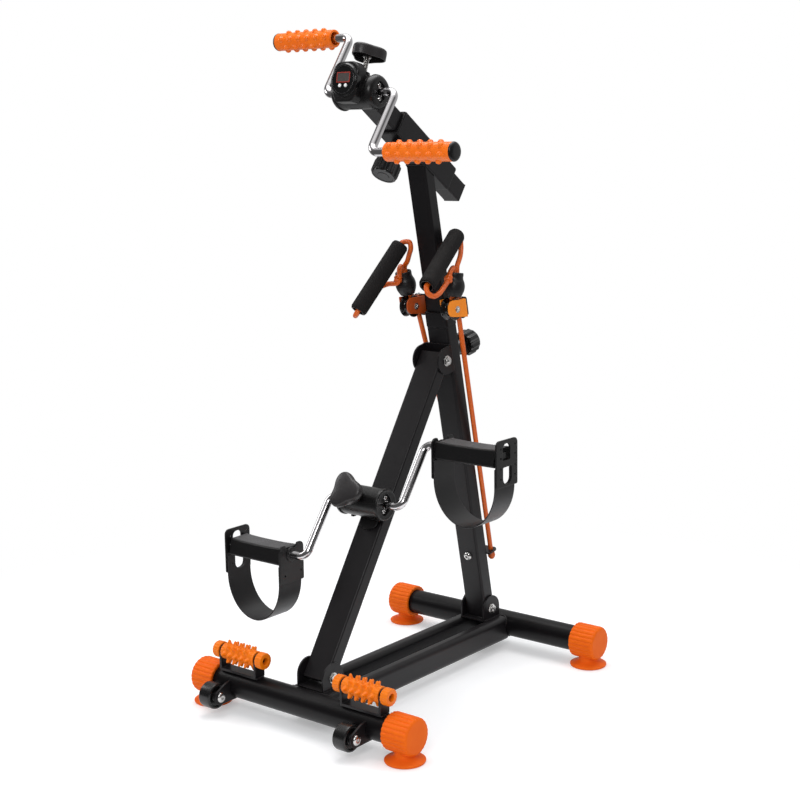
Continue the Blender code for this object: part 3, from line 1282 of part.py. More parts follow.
foot_tube("front_foot_tube", 0.0)
foot_tube("rear_foot_tube", WHEELBASE)
for end_word, end_y in (("front", 0.0), ("rear", WHEELBASE)):
    foot_cap(f"foot_cap_{end_word}_right", 1, end_y)
    foot_cap(f"foot_cap_{end_word}_left", -1, end_y)
for side_word, side_sign in (("right", 1), ("left", -1)):
    rail(f"rail_{side_word}", side_sign)
    roller_set(side_sign)
    wheel_set(side_sign)

foot_bracket("strut_foot_bracket", STRUT_FOOT, STRUT_WIDTH / 2)
foot_bracket("post_foot_bracket", POST_FOOT, POST_WIDTH / 2)
strut_grip = STRUT_WIDTH / 2 + BRACKET_PLAY + BRACKET_WALL
post_grip = POST_WIDTH / 2 + BRACKET_PLAY + BRACKET_WALL
bolt("strut_foot_bolt", BASE, STRUT_FOOT, strut_grip)
bolt("post_foot_bolt", BASE, POST_FOOT, post_grip, post_grip - BRACKET_WALL)
bolt("hinge_bolt", POST, (0.0, 0.0, 0.0), strut_grip)

strut()
foot_unit()
lower_post()
POST_BACK = (0.0, POST_SETBACK + POST_DEPTH / 2, LOCK_HEIGHT)
lock_knob("post_lock_knob", POST, POST_BACK, POST_LEAN - 90, (POST_DEPTH - UPPER_DEPTH) / 2)
band_anchor()
pulley_yoke()
for side_word, side_facts in SIDES.items():
    pulley_set(side_word, side_facts["sign"])
    band(side_word, side_facts)
    pull_set(side_word, side_facts)

upper_post()
SLEEVE_UNDER = (0.0, SLEEVE_KNOB_Y, -SLEEVE_SIDE / 2)
lock_knob("sleeve_lock_knob", SLEEVE, SLEEVE_UNDER, 180 - ARM_SLOPE, (SLEEVE_SIDE - ARM_HEIGHT) / 2)
arm()
hand_unit()
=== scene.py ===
# %% [markdown]
# # A folding rehabilitation bike
#
# The machine has pedals below for the feet and a small hand crank above for the arms. Its frame is
# black painted steel, and everything that is touched or stood on is orange or black plastic and rubber.
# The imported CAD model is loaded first, as a fixed frame. Every piece below is built in the same metres
# and the same axes, so it goes where the CAD says: X to the right, Y to the rear, Z up.

# %% Load the frame
import math

import bmesh
import bpy
from mathutils import Matrix, Vector, noise


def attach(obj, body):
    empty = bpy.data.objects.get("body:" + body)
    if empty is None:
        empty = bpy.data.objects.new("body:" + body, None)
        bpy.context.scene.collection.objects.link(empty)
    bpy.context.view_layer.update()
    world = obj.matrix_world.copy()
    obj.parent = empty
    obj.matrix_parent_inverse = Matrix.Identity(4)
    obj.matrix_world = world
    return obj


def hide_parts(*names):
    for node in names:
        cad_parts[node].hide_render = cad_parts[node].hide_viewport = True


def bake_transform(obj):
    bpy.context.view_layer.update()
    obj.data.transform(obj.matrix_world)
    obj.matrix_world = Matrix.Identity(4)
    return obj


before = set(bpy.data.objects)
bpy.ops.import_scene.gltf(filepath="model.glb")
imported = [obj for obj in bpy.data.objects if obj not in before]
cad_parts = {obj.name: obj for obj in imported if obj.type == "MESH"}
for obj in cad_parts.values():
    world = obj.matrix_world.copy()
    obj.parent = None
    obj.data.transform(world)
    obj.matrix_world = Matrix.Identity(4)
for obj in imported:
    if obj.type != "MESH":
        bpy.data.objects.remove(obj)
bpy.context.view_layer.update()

# %% [markdown]
# ## The camera
#
# The picture was taken from the front right, a little above the middle, with a long lens. A camera is
# easiest to repeat from its place and three angles: the turn round the object, the height above the
# horizon and a small roll. The three axes are built from them, and become the columns of its matrix.

# %% Camera
CAMERA_SPOT = Vector((1.4401, -1.76895, 0.8687))
CAMERA_AZIMUTH = math.radians(38.999)
CAMERA_ELEVATION = math.radians(10.04)
CAMERA_ROLL = math.radians(-0.801)
CAMERA_LENS = 67.07

level = math.cos(CAMERA_ELEVATION)
back = Vector(
    (math.sin(CAMERA_AZIMUTH) * level, -math.cos(CAMERA_AZIMUTH) * level, math.sin(CAMERA_ELEVATION)),
)
flat_right = (-back).cross(Vector((0, 0, 1))).normalized()
flat_up = flat_right.cross(-back)
right = flat_right * math.cos(CAMERA_ROLL) + flat_up * math.sin(CAMERA_ROLL)
up = flat_up * math.cos(CAMERA_ROLL) - flat_right * math.sin(CAMERA_ROLL)
camera = bpy.data.objects.new("camera", bpy.data.cameras.new("camera"))
camera.data.lens = CAMERA_LENS
camera.data.clip_end = 50
camera.matrix_world = Matrix((
    (right.x, up.x, back.x, CAMERA_SPOT.x),
    (right.y, up.y, back.y, CAMERA_SPOT.y),
    (right.z, up.z, back.z, CAMERA_SPOT.z),
    (0, 0, 0, 1),
))
bpy.context.scene.collection.objects.link(camera)
bpy.context.scene.camera = camera
print("camera looks along", [round(value, 3) for value in -back])

# %% [markdown]
# ## Node helpers
#
# Materials here are trees of nodes. Three short functions keep them readable: one adds a node with its
# settings, one links two sockets, and one starts a group with named inputs and outputs.


# %% Node helpers
def node(tree, kind, **settings):
    """Adds a node. A setting that names one of its inputs is that input's value."""
    made = tree.nodes.new("ShaderNode" + kind)
    for name, value in settings.items():
        if name.title() in made.inputs:
            made.inputs[name.title()].default_value = value
        else:
            setattr(made, name, value)
    return made


def wire(tree, *pairs):
    for source, target in pairs:
        tree.links.new(source, target)


def start_group(name, inputs, outputs):
    """A shader group and its two end nodes. Inputs are (name, socket type, value)."""
    tree = bpy.data.node_groups.new(name, "ShaderNodeTree")
    for label, kind, value in inputs:
        tree.interface.new_socket(label, in_out="INPUT", socket_type=kind).default_value = value
    for label, kind in outputs:
        tree.interface.new_socket(label, in_out="OUTPUT", socket_type=kind)
    return tree, tree.nodes.new("NodeGroupInput").outputs, tree.nodes.new("NodeGroupOutput").inputs


FLOAT, VECTOR = "NodeSocketFloat", "NodeSocketVector"
print("node helpers ready")

# %% [markdown]
# ## The studio
#
# A product picture is taken on a white sweep under large soft lamps. The world shows white to the
# camera and lights the object less than that. In reflections it is bright behind and above, where
# the sweep and the lamps are, and dim towards the room, so black paint stays black. The floor is a
# pale plane that keeps the object's shadow and fades to plain white, so no horizon shows.

# %% World
AMBIENT = 0.62
GLOSS_LOW, GLOSS_BEHIND, GLOSS_ABOVE = 0.1, 0.5, 0.9
BEHIND_FADE, ABOVE_FADE = (0.05, 0.75), (0.55, 0.95)
world = bpy.data.worlds.new("studio")
bpy.context.scene.world = world
world.use_nodes = True
tree = world.node_tree
tree.nodes.clear()


def fade_of(tree, value, start, end):
    """A smooth step of a socket's value from 0 at the start to 1 at the end."""
    made = node(tree, "MapRange", interpolation_type="SMOOTHSTEP")
    made.inputs["From Min"].default_value = start
    made.inputs["From Max"].default_value = end
    wire(tree, (value, made.inputs["Value"]))
    return made.outputs[0]


def calculate(tree, operation, first, second, third=None):
    """One step of arithmetic on sockets or numbers."""
    made = node(tree, "Math", operation=operation)
    for index, value in enumerate((first, second, third)):
        if isinstance(value, bpy.types.NodeSocket):
            wire(tree, (value, made.inputs[index]))
        elif value is not None:
            made.inputs[index].default_value = value
    return made.outputs[0]


seen = node(tree, "LightPath").outputs
heading = node(tree, "SeparateXYZ")
wire(tree, (node(tree, "TexCoord").outputs["Generated"], heading.inputs[0]))
behind = fade_of(tree, heading.outputs["Y"], *BEHIND_FADE)
above = fade_of(tree, heading.outputs["Z"], *ABOVE_FADE)
gloss = calculate(tree, "MULTIPLY_ADD", behind, GLOSS_BEHIND - GLOSS_LOW, GLOSS_LOW)
gloss = calculate(tree, "MULTIPLY_ADD", above, GLOSS_ABOVE, gloss)
sees_object = calculate(tree, "MAXIMUM", seen["Is Glossy Ray"], seen["Is Transmission Ray"])
ambient = node(tree, "Background", color=(0.94, 0.96, 1.0, 1.0), strength=AMBIENT)
mirrored = node(tree, "Background", color=(1.0, 1.0, 1.0, 1.0))
white = node(tree, "Background", color=(1.0, 1.0, 1.0, 1.0), strength=1.0)
first, second, out = node(tree, "MixShader"), node(tree, "MixShader"), node(tree, "OutputWorld")
wire(
    tree,
    (gloss, mirrored.inputs["Strength"]),
    (sees_object, first.inputs[0]),
    (ambient.outputs[0], first.inputs[1]),
    (mirrored.outputs[0], first.inputs[2]),
    (seen["Is Camera Ray"], second.inputs[0]),
    (first.outputs[0], second.inputs[1]),
    (white.outputs[0], second.inputs[2]),
    (second.outputs[0], out.inputs[0]),
)
bpy.context.scene.view_settings.view_transform = "Standard"
print("world lights at", AMBIENT)

# %% Floor
FLOOR_SIZE = 7.0
FLOOR_FADE = (0.5, 1.05)
FLOOR_LIFT = 0.3
FLOOR_DEPTH = (-0.3, 1.2)
FLOOR_GLOW = (0.4, 0.1)
shape = bmesh.new()
bmesh.ops.create_grid(shape, x_segments=8, y_segments=8, size=FLOOR_SIZE)
floor_mesh = bpy.data.meshes.new("floor")
shape.to_mesh(floor_mesh)
shape.free()
floor = bpy.data.objects.new("floor", floor_mesh)
bpy.context.scene.collection.objects.link(floor)

paper = bpy.data.materials.new("white_paper")
paper.use_nodes = True
tree = paper.node_tree
tree.nodes.clear()
spot = node(tree, "TexCoord").outputs["Object"]
apart = node(tree, "SeparateXYZ")
distance = node(tree, "VectorMath", operation="LENGTH")
wire(tree, (spot, apart.inputs[0]), (spot, distance.inputs[0]))
seen = node(tree, "LightPath").outputs
away = fade_of(tree, distance.outputs["Value"], *FLOOR_FADE)
rearward = fade_of(tree, apart.outputs["Y"], *FLOOR_DEPTH)
behind = calculate(tree, "MULTIPLY_ADD", rearward, *FLOOR_GLOW)
far_light = calculate(tree, "MAXIMUM", seen["Is Camera Ray"], behind)
sees = calculate(tree, "MAXIMUM", seen["Is Camera Ray"], seen["Is Glossy Ray"])
plain = node(tree, "BsdfDiffuse", color=(0.8, 0.8, 0.8, 1.0))
glow = node(tree, "Emission", color=(1.0, 1.0, 1.0, 1.0))
white = node(tree, "Emission", color=(1.0, 1.0, 1.0, 1.0))
both, mix, out = node(tree, "AddShader"), node(tree, "MixShader"), node(tree, "OutputMaterial")
wire(
    tree,
    (calculate(tree, "MULTIPLY", sees, FLOOR_LIFT), glow.inputs["Strength"]),
    (far_light, white.inputs["Strength"]),
    (plain.outputs[0], both.inputs[0]),
    (glow.outputs[0], both.inputs[1]),
    (calculate(tree, "MULTIPLY", away, sees), mix.inputs[0]),
    (both.outputs[0], mix.inputs[1]),
    (white.outputs[0], mix.inputs[2]),
    (mix.outputs[0], out.inputs[0]),
)
floor_mesh.materials.append(paper)
print("floor is", 2 * FLOOR_SIZE, "m wide")

# %% Lamps
LAMP_TARGET = Vector((0, 0, 0.5))
LAMPS = {
    "top_softbox": ((-0.2, 0.3, 2.7), 1.8, 34.0),
    "front_softbox": ((1.3, -2.2, 2.0), 0.9, 22.0),
    "left_softbox": ((-2.2, -0.6, 1.5), 0.8, 9.0),
}
for name, (place, size, watts) in LAMPS.items():
    lamp = bpy.data.lights.new(name, "AREA")
    lamp.size = size
    lamp.energy = watts
    item = bpy.data.objects.new(name, lamp)
    item.location = place
    item.rotation_euler = (LAMP_TARGET - Vector(place)).to_track_quat("-Z", "Y").to_euler()
    bpy.context.scene.collection.objects.link(item)
print(len(LAMPS), "lamps")

# %% [markdown]
# ## Shared surface effects
#
# Real surfaces are never one flat value. Four effects are shared by nearly all the materials: a fine
# grain with a slow drift of tone, edges lightened both as rubbed wear and as a painted highlight, dust
# that settles on what faces up, and pores. Each is a node group, built once, that puts out values. A
# material places it with its own numbers and feeds its colour, roughness and bump. All read the object's
# own coordinates, in metres, so a scale of 1000 gives features about a millimetre wide and nothing slides
# when a joint moves.

# %% Fine grain group
DRIFT_SHARE = 0.03
tree, given, put_out = start_group(
    "fine_grain",
    [("Scale", FLOAT, 900.0), ("Detail", FLOAT, 2.0), ("Stretch", VECTOR, (1.0, 1.0, 1.0))],
    [("Height", FLOAT), ("Drift", FLOAT)],
)
stretch = node(tree, "VectorMath", operation="MULTIPLY")
fine = node(tree, "TexNoise")
slow_scale = node(tree, "Math", operation="MULTIPLY")
slow_scale.inputs[1].default_value = DRIFT_SHARE
slow = node(tree, "TexNoise", detail=3.0)
wire(
    tree,
    (node(tree, "TexCoord").outputs["Object"], stretch.inputs[0]),
    (given["Stretch"], stretch.inputs[1]),
    (stretch.outputs[0], fine.inputs["Vector"]),
    (given["Scale"], fine.inputs["Scale"]),
    (given["Detail"], fine.inputs["Detail"]),
    (given["Scale"], slow_scale.inputs[0]),
    (stretch.outputs[0], slow.inputs["Vector"]),
    (slow_scale.outputs[0], slow.inputs["Scale"]),
    (fine.outputs["Fac"], put_out["Height"]),
    (slow.outputs["Fac"], put_out["Drift"]),
)
FINE_GRAIN = tree

# %% Rubbed and highlit edges group
EDGE_FADE, BREAKUP_FADE = (0.015, 0.16), (0.36, 0.6)
# Lightens sharp edges: partly rubbed wear, partly a painted highlight where edges catch the light.
tree, given, put_out = start_group(
    "rubbed_and_highlit_edges", [("Width", FLOAT, 0.0007), ("Breakup", FLOAT, 260.0)], [("Mask", FLOAT)],
)
surface = node(tree, "NewGeometry").outputs
softened = node(tree, "Bevel", samples=4)
agree = node(tree, "VectorMath", operation="DOT_PRODUCT")
broken = node(tree, "TexNoise", detail=4.0)
wire(
    tree,
    (given["Width"], softened.inputs["Radius"]),
    (softened.outputs[0], agree.inputs[0]),
    (surface["Normal"], agree.inputs[1]),
    (node(tree, "TexCoord").outputs["Object"], broken.inputs["Vector"]),
    (given["Breakup"], broken.inputs["Scale"]),
)
bent = fade_of(tree, calculate(tree, "SUBTRACT", 1.0, agree.outputs["Value"]), *EDGE_FADE)
gate = fade_of(tree, broken.outputs["Fac"], *BREAKUP_FADE)
wire(tree, (calculate(tree, "MULTIPLY", bent, gate), put_out["Mask"]))
RUBBED_AND_HIGHLIT_EDGES = tree

# %% Settled dust group
DUST_FACING = 0.35
tree, given, put_out = start_group(
    "settled_dust", [("Amount", FLOAT, 0.1), ("Scale", FLOAT, 60.0)], [("Mask", FLOAT)],
)
apart = node(tree, "SeparateXYZ")
facing = node(tree, "MapRange", interpolation_type="SMOOTHSTEP")
facing.inputs["From Min"].default_value = DUST_FACING
cloud = node(tree, "TexNoise", detail=6.0)
product = node(tree, "Math", operation="MULTIPLY")
scaled = node(tree, "Math", operation="MULTIPLY")
wire(
    tree,
    (node(tree, "NewGeometry").outputs["Normal"], apart.inputs[0]),
    (apart.outputs["Z"], facing.inputs["Value"]),
    (node(tree, "TexCoord").outputs["Object"], cloud.inputs["Vector"]),
    (given["Scale"], cloud.inputs["Scale"]),
    (facing.outputs[0], product.inputs[0]),
    (cloud.outputs["Fac"], product.inputs[1]),
    (product.outputs[0], scaled.inputs[0]),
    (given["Amount"], scaled.inputs[1]),
    (scaled.outputs[0], put_out["Mask"]),
)
SETTLED_DUST = tree

# %% Open pores group
PORE_SHARE = 0.35
tree, given, put_out = start_group("open_pores", [("Scale", FLOAT, 1400.0)], [("Height", FLOAT)])
cells = node(tree, "TexVoronoi")
rough = node(tree, "TexNoise", detail=5.0)
fine_scale = node(tree, "Math", operation="MULTIPLY")
fine_scale.inputs[1].default_value = PORE_SHARE
total = node(tree, "Math", operation="ADD")
spot = node(tree, "TexCoord").outputs["Object"]
wire(
    tree,
    (spot, cells.inputs["Vector"]),
    (spot, rough.inputs["Vector"]),
    (given["Scale"], cells.inputs["Scale"]),
    (given["Scale"], fine_scale.inputs[0]),
    (fine_scale.outputs[0], rough.inputs["Scale"]),
    (cells.outputs["Distance"], total.inputs[0]),
    (rough.outputs["Fac"], total.inputs[1]),
    (total.outputs[0], put_out["Height"]),
)
OPEN_PORES = tree
print("groups:", [tree.name for tree in bpy.data.node_groups])

# %% [markdown]
# ## One recipe for the finishes
#
# Paint, moulded plastic, rubber, foam and metal differ in numbers more than in kind. The recipe mixes
# two close tones of a colour by the slow drift, lightens edges as rubbed wear and as a painted highlight,
# lays a little dust on top, lets the grain roughen and bump the surface, and leaves what is constant on
# the shader's own sockets.


# %% The recipe
def place_group(tree, group, **values):
    made = tree.nodes.new("ShaderNodeGroup")
    made.node_tree = group
    for name, value in values.items():
        made.inputs[name.title()].default_value = value
    return made.outputs


def blend_colours(tree, share, first, second):
    """Mixes two colours, each a socket or a plain colour, by a share socket."""
    mix = tree.nodes.new("ShaderNodeMix")
    mix.data_type = "RGBA"
    tree.links.new(share, mix.inputs["Factor"])
    for label, colour in (("A", first), ("B", second)):
        target = next(s for s in mix.inputs if s.name == label and s.type == "RGBA")
        if isinstance(colour, bpy.types.NodeSocket):
            tree.links.new(colour, target)
        else:
            target.default_value = (*colour, 1.0)
    return next(s for s in mix.outputs if s.type == "RGBA")


DUST_COLOUR = (0.42, 0.4, 0.38)


def finish(
    name, light, dark, roughness, grain, depth, detail=2.0, spread=0.1, metallic=0.0,
    specular=0.5, edge_wear_and_highlight=None, width=0.0007, dust=0.0, stretch=(1.0, 1.0, 1.0), pores=0.0, coat=0.0,
    strength=0.5,
):
    """A material: two tones, grain for roughness and bump, and optional edges lightened as rubbed wear and
    painted highlight, dust and pores."""
    material = bpy.data.materials.new(name)
    material.use_nodes = True
    tree = material.node_tree
    shader = tree.nodes["Principled BSDF"]
    surface = place_group(tree, FINE_GRAIN, scale=grain, detail=detail, stretch=stretch)
    colour = blend_colours(tree, surface["Drift"], light, dark)
    # Sharp edges take a lighter colour, as rubbed wear and as a painted edge highlight.
    if edge_wear_and_highlight:
        worn_and_highlit = place_group(tree, RUBBED_AND_HIGHLIT_EDGES, width=width)
        colour = blend_colours(tree, worn_and_highlit["Mask"], colour, edge_wear_and_highlight)
    if dust:
        settled = place_group(tree, SETTLED_DUST, amount=dust)
        colour = blend_colours(tree, settled["Mask"], colour, DUST_COLOUR)
    height = surface["Height"]
    if pores:
        height = place_group(tree, OPEN_PORES, scale=pores)["Height"]
    vary = node(tree, "MapRange")
    vary.inputs["To Min"].default_value = roughness - spread
    vary.inputs["To Max"].default_value = roughness + spread
    bump = node(tree, "Bump", strength=strength, distance=depth)
    wire(
        tree,
        (colour, shader.inputs["Base Color"]),
        (surface["Height"], vary.inputs["Value"]),
        (vary.outputs[0], shader.inputs["Roughness"]),
        (height, bump.inputs["Height"]),
        (bump.outputs[0], shader.inputs["Normal"]),
    )
    shader.inputs["Metallic"].default_value = metallic
    shader.inputs["Specular IOR Level"].default_value = specular
    shader.inputs["Coat Weight"].default_value = coat
    return material


# %% The finishes
BLACK_PAINT = finish(
    "black_powder_coat", (0.0092, 0.008, 0.009), (0.0062, 0.0052, 0.006), 0.36,
    grain=1400.0, depth=0.00005, specular=0.3, edge_wear_and_highlight=(0.05, 0.046, 0.05), width=0.0009, dust=0.03,
    spread=0.06,
)
# The frame's black powder coat, made darker and duller for the foot tubes: painted shade.
TUBE_SHADED_PAINT = finish(
    "foot_tube_shaded_coat", (0.0052, 0.0044, 0.005), (0.0034, 0.0028, 0.0033), 0.34, grain=1400.0,
    depth=0.00005, specular=0.2, edge_wear_and_highlight=(0.05, 0.046, 0.05), width=0.0009, dust=0.02, spread=0.06,
)
BLACK_PLASTIC = finish(
    "black_moulded_plastic", (0.0075, 0.007, 0.0072), (0.005, 0.0046, 0.0048), 0.31,
    grain=2600.0, depth=0.00004, specular=0.42, edge_wear_and_highlight=(0.042, 0.04, 0.042), width=0.0005, dust=0.03,
)
KNOB_PLASTIC = finish(
    "satin_knob_plastic", (0.026, 0.023, 0.0235), (0.019, 0.017, 0.0174), 0.36,
    grain=3000.0, depth=0.00005, specular=0.45, edge_wear_and_highlight=(0.085, 0.08, 0.083), width=0.0006, dust=0.04,
)
CLAMP_PLASTIC = finish(
    "gloss_clamp_plastic", (0.006, 0.0056, 0.0058), (0.004, 0.0036, 0.0038), 0.24,
    grain=3000.0, depth=0.00004, specular=0.55, edge_wear_and_highlight=(0.09, 0.086, 0.088), width=0.0007, dust=0.04,
)
GLOSS_BLACK = finish(
    "gloss_black_case", (0.0045, 0.0045, 0.0048), (0.003, 0.003, 0.0033), 0.14,
    grain=500.0, depth=0.00001, spread=0.05, edge_wear_and_highlight=(0.05, 0.05, 0.052), width=0.0006, coat=0.2,
)
STRAP_BLACK = finish(
    "satin_strap", (0.012, 0.011, 0.0118), (0.0075, 0.007, 0.0076), 0.4,
    grain=1200.0, depth=0.00006, specular=0.42, edge_wear_and_highlight=(0.2, 0.19, 0.2), width=0.0006, dust=0.02,
)
# The light grey tone is partly the grit's own colour and partly a painted highlight for its glints.
GRIT_BLACK = finish(
    "gritty_tread", (0.09, 0.086, 0.088), (0.018, 0.017, 0.0175), 0.36, grain=1300.0,
    depth=0.0006, detail=4.0, specular=0.8, strength=1.0,
)
TYRE_BLACK = finish(
    "wheel_rubber", (0.0065, 0.0063, 0.0066), (0.0042, 0.004, 0.0042), 0.27,
    grain=1800.0, depth=0.00004, specular=0.5, edge_wear_and_highlight=(0.055, 0.052, 0.055), width=0.0009, dust=0.05,
)
CAP_ORANGE = finish(
    "orange_cap_rubber", (0.92, 0.158, 0.004), (0.84, 0.122, 0.003), 0.5,
    grain=1800.0, depth=0.00006, specular=0.14, edge_wear_and_highlight=(1.0, 0.27, 0.04), width=0.0005, dust=0.03,
)
ROLLER_ORANGE = finish(
    "orange_roller_plastic", (0.94, 0.225, 0.002), (0.87, 0.165, 0.001), 0.34,
    grain=1200.0, depth=0.00004, specular=0.3, edge_wear_and_highlight=(1.0, 0.36, 0.02), width=0.0004, dust=0.02,
)
GRIP_ORANGE = finish(
    "orange_grip_rubber", (0.96, 0.205, 0.005), (0.88, 0.13, 0.003), 0.27,
    grain=1500.0, depth=0.00005, specular=0.38, edge_wear_and_highlight=(1.0, 0.4, 0.08), width=0.0006, dust=0.01,
)
CORD_ORANGE = finish(
    "orange_pull_cord", (0.78, 0.14, 0.01), (0.6, 0.088, 0.006), 0.34,
    grain=1600.0, depth=0.00012, specular=0.42, dust=0.02,
)
BRACKET_ORANGE = finish(
    "orange_bracket_paint", (1.0, 0.3, 0.008), (0.96, 0.25, 0.006), 0.34,
    grain=1400.0, depth=0.00005, specular=0.36, edge_wear_and_highlight=(1.0, 0.48, 0.07), width=0.0006, dust=0.03,
)
# The same orange as the right bracket, darkened and reddened for the left one: painted shade.
BRACKET_SHADED_ORANGE = finish(
    "shaded_orange_bracket_paint", (0.58, 0.098, 0.016), (0.43, 0.07, 0.014), 0.34,
    grain=1400.0, depth=0.00005, specular=0.36, edge_wear_and_highlight=(0.75, 0.2, 0.04), width=0.0008, dust=0.03,
)
FOAM = finish(
    "closed_cell_foam", (0.015, 0.0132, 0.0128), (0.01, 0.0088, 0.0085), 0.85,
    grain=700.0, depth=0.00035, specular=0.18, pores=1500.0, strength=0.7, dust=0.04,
)
LINER_BLACK = finish(
    "handle_liner", (0.008, 0.0076, 0.0078), (0.0055, 0.0052, 0.0054), 0.25, grain=900.0,
    depth=0.00002, edge_wear_and_highlight=(0.07, 0.068, 0.07), width=0.0005,
)
STOPPER_RUBBER = finish(
    "stopper_rubber", (0.011, 0.0102, 0.0108), (0.007, 0.0064, 0.0068), 0.4,
    grain=1500.0, depth=0.00007, specular=0.42, edge_wear_and_highlight=(0.05, 0.047, 0.05), dust=0.04,
)
STEEL = finish(
    "bright_steel", (0.72, 0.71, 0.7), (0.58, 0.57, 0.56), 0.22, grain=2200.0, depth=0.00005,
    metallic=1.0, edge_wear_and_highlight=(0.9, 0.89, 0.87), width=0.0003, spread=0.08,
)
CHROME = finish(
    "chromed_rod", (0.74, 0.72, 0.73), (0.64, 0.625, 0.635), 0.15, grain=900.0, depth=0.00001,
    metallic=1.0, spread=0.05, stretch=(1.0, 3.0, 3.0),
)
WHITE_PLASTIC = finish(
    "white_button", (0.88, 0.88, 0.86), (0.82, 0.82, 0.8), 0.35, grain=1500.0,
    depth=0.00002,
)
SCREEN_GREY = finish(
    "blank_screen", (0.085, 0.072, 0.066), (0.052, 0.046, 0.043), 0.22, grain=300.0,
    depth=0.00001, spread=0.05, coat=0.4,
)
SCREEN_RED = finish(
    "screen_frame_red", (0.36, 0.036, 0.024), (0.26, 0.026, 0.018), 0.3,
    grain=900.0, depth=0.00002,
)
# Near-black for the screws deep in the roller nuts' bores: painted shade.
SHADOW_BLACK = finish(
    "painted_recess_shadow", (0.003, 0.0028, 0.003), (0.002, 0.0018, 0.002), 0.75,
    grain=900.0, depth=0.00005, specular=0.2,
)
FELT = finish(
    "brake_felt", (0.26, 0.23, 0.19), (0.2, 0.17, 0.14), 0.95, grain=2400.0, depth=0.0003,
    detail=5.0, specular=0.2, strength=0.9,
)
print(len(bpy.data.materials), "materials")

# %% [markdown]
# ## Shape helpers
#
# Nearly all of the machine is turned, bent or cut from plate. Rings of points skinned into a surface
# make everything that is round, fluted or lobed. A flat outline with a rounded edge makes plates and
# tubes, because Blender's 2D curves fill holes and round edges by themselves. Booleans cut one by the
# other. Every helper gives back a bmesh, so that shapes can be added together before they are mounted.

# %% Places
MIDDLE = 0.22815
SIDEWAYS = Matrix(((0, 0, 1, 0), (1, 0, 0, 0), (0, 1, 0, 0), (0, 0, 0, 1)))
FRONTAL = Matrix(((1, 0, 0, 0), (0, 0, -1, 0), (0, 1, 0, 0), (0, 0, 0, 1)))
UPRIGHT = Matrix.Identity(4)


def at(spot, lean=0.0):
    """The place of a frame that leans about X by that many degrees."""
    return Matrix.Translation(spot) @ Matrix.Rotation(math.radians(lean), 4, "X")


def along_x(side=1, x=0.0):
    """Turns a shape made about Z to lie along X, to the right or the left."""
    return Matrix.Translation((x, 0, 0)) @ Matrix.Rotation(math.radians(90 * side), 4, "Y")


def on_side(side, spot):
    """A spot that is given for the right, on the right or the left."""
    return Vector((side * spot[0], spot[1], spot[2]))


BASE = at((0, -MIDDLE, 0))
STRUT_LEAN, POST_LEAN, ARM_LEAN = -32.9756, 11.6212, 35.2
STRUT_WIDTH, STRUT_DEPTH = 0.0457, 0.0221
POST_WIDTH, POST_DEPTH = 0.041, 0.0273
STRUT = at((0, -0.19025, 0.0743), STRUT_LEAN)
POST = at((0, 0.09665, 0.5165), POST_LEAN)
SETBACK = 0.0315
POST_AXIS = POST @ at((0, SETBACK, 0))
POST_FOOT = at((0, 0.2198, 0.0743))
SLEEVE = at((0, 0.061251, 0.845003), -ARM_LEAN)
HAND = at((0, -0.072994, 0.931748), -ARM_LEAN)
HAND_KNOB = at(HAND.translation, -18.5)
HAND_CRANK = at(HAND.translation, 144.82)
DISPLAY = at(HAND.translation, -10.0)
FOOT = at((0, -0.078025, 0.318927), STRUT_LEAN)
FOOT_SETBACK = 0.039
FOOT_BARREL = at(FOOT.translation, -12.0)
FOOT_KNOB = at(FOOT.translation, 60.0)
FOOT_CRANK = at(FOOT.translation, -35.65)
print("hand hub at", [round(value, 4) for value in HAND.translation])


# %% Mounting a piece
def mount(name, shape, place, material, body, replaces=None, sharp=32.0):
    """Turns a bmesh into an object in place, shades it, and lets it ride on its body.

    Replaces is the one CAD node that the piece stands in for."""
    bmesh.ops.recalc_face_normals(shape, faces=shape.faces)
    mesh = bpy.data.meshes.new(name)
    shape.to_mesh(mesh)
    shape.free()
    mesh.transform(place)
    mesh.shade_smooth()
    mesh.set_sharp_from_angle(angle=math.radians(sharp))
    mesh.materials.append(material)
    item = bpy.data.objects.new(name, mesh)
    bpy.context.scene.collection.objects.link(item)
    item.modifiers.new("even_normals", "WEIGHTED_NORMAL").keep_sharp = True
    if body:
        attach(item, body)
    if replaces:
        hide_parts(replaces)
    return item


def add(shape, other, place=UPRIGHT):
    """Adds a second shape to the first, and uses it up."""
    mesh = bpy.data.meshes.new("added")
    other.to_mesh(mesh)
    other.free()
    mesh.transform(place)
    shape.from_mesh(mesh)
    bpy.data.meshes.remove(mesh)
    return shape


# %% Rings and lofts
def turn_angles(steps):
    return [math.tau * index / steps for index in range(steps)]


def ring(radius, height, steps=48):
    """A level ring. The radius is a number or a function of the angle; nothing wide is a tip."""
    if not callable(radius):
        if radius < 1e-6:
            return [Vector((0, 0, height))]
        return [Vector((radius * math.cos(a), radius * math.sin(a), height)) for a in turn_angles(steps)]
    return [
        Vector((radius(a) * math.cos(a), radius(a) * math.sin(a), height)) for a in turn_angles(steps)
    ]


def loft(rings, closed=False):
    """Skins rings of points. A ring of one point is a tip; open ends of more points are capped."""
    shape = bmesh.new()
    made = [[shape.verts.new(point) for point in points] for points in rings]
    pairs = list(zip(made, made[1:]))
    if closed:
        pairs.append((made[-1], made[0]))
    sides = max(len(points) for points in rings)
    for low, high in pairs:
        for index in range(sides):
            after = (index + 1) % sides
            corners = [
                low[index % len(low)], low[after % len(low)], high[after % len(high)],
                high[index % len(high)],
            ]
            corners = list(dict.fromkeys(corners))
            if len(corners) > 2:
                shape.faces.new(corners)
    if not closed:
        for end in (made[0], made[-1]):
            if len(end) > 2:
                shape.faces.new(end)
    return shape


def lathe(profile, steps, closed=False):
    """A profile of (radius, height) turned about Z."""
    return loft([ring(radius, height, steps) for radius, height in profile], closed)


def cylinder(radius, low, high, steps=32):
    return lathe([(0.0, low), (radius, low), (radius, high), (0.0, high)], steps)


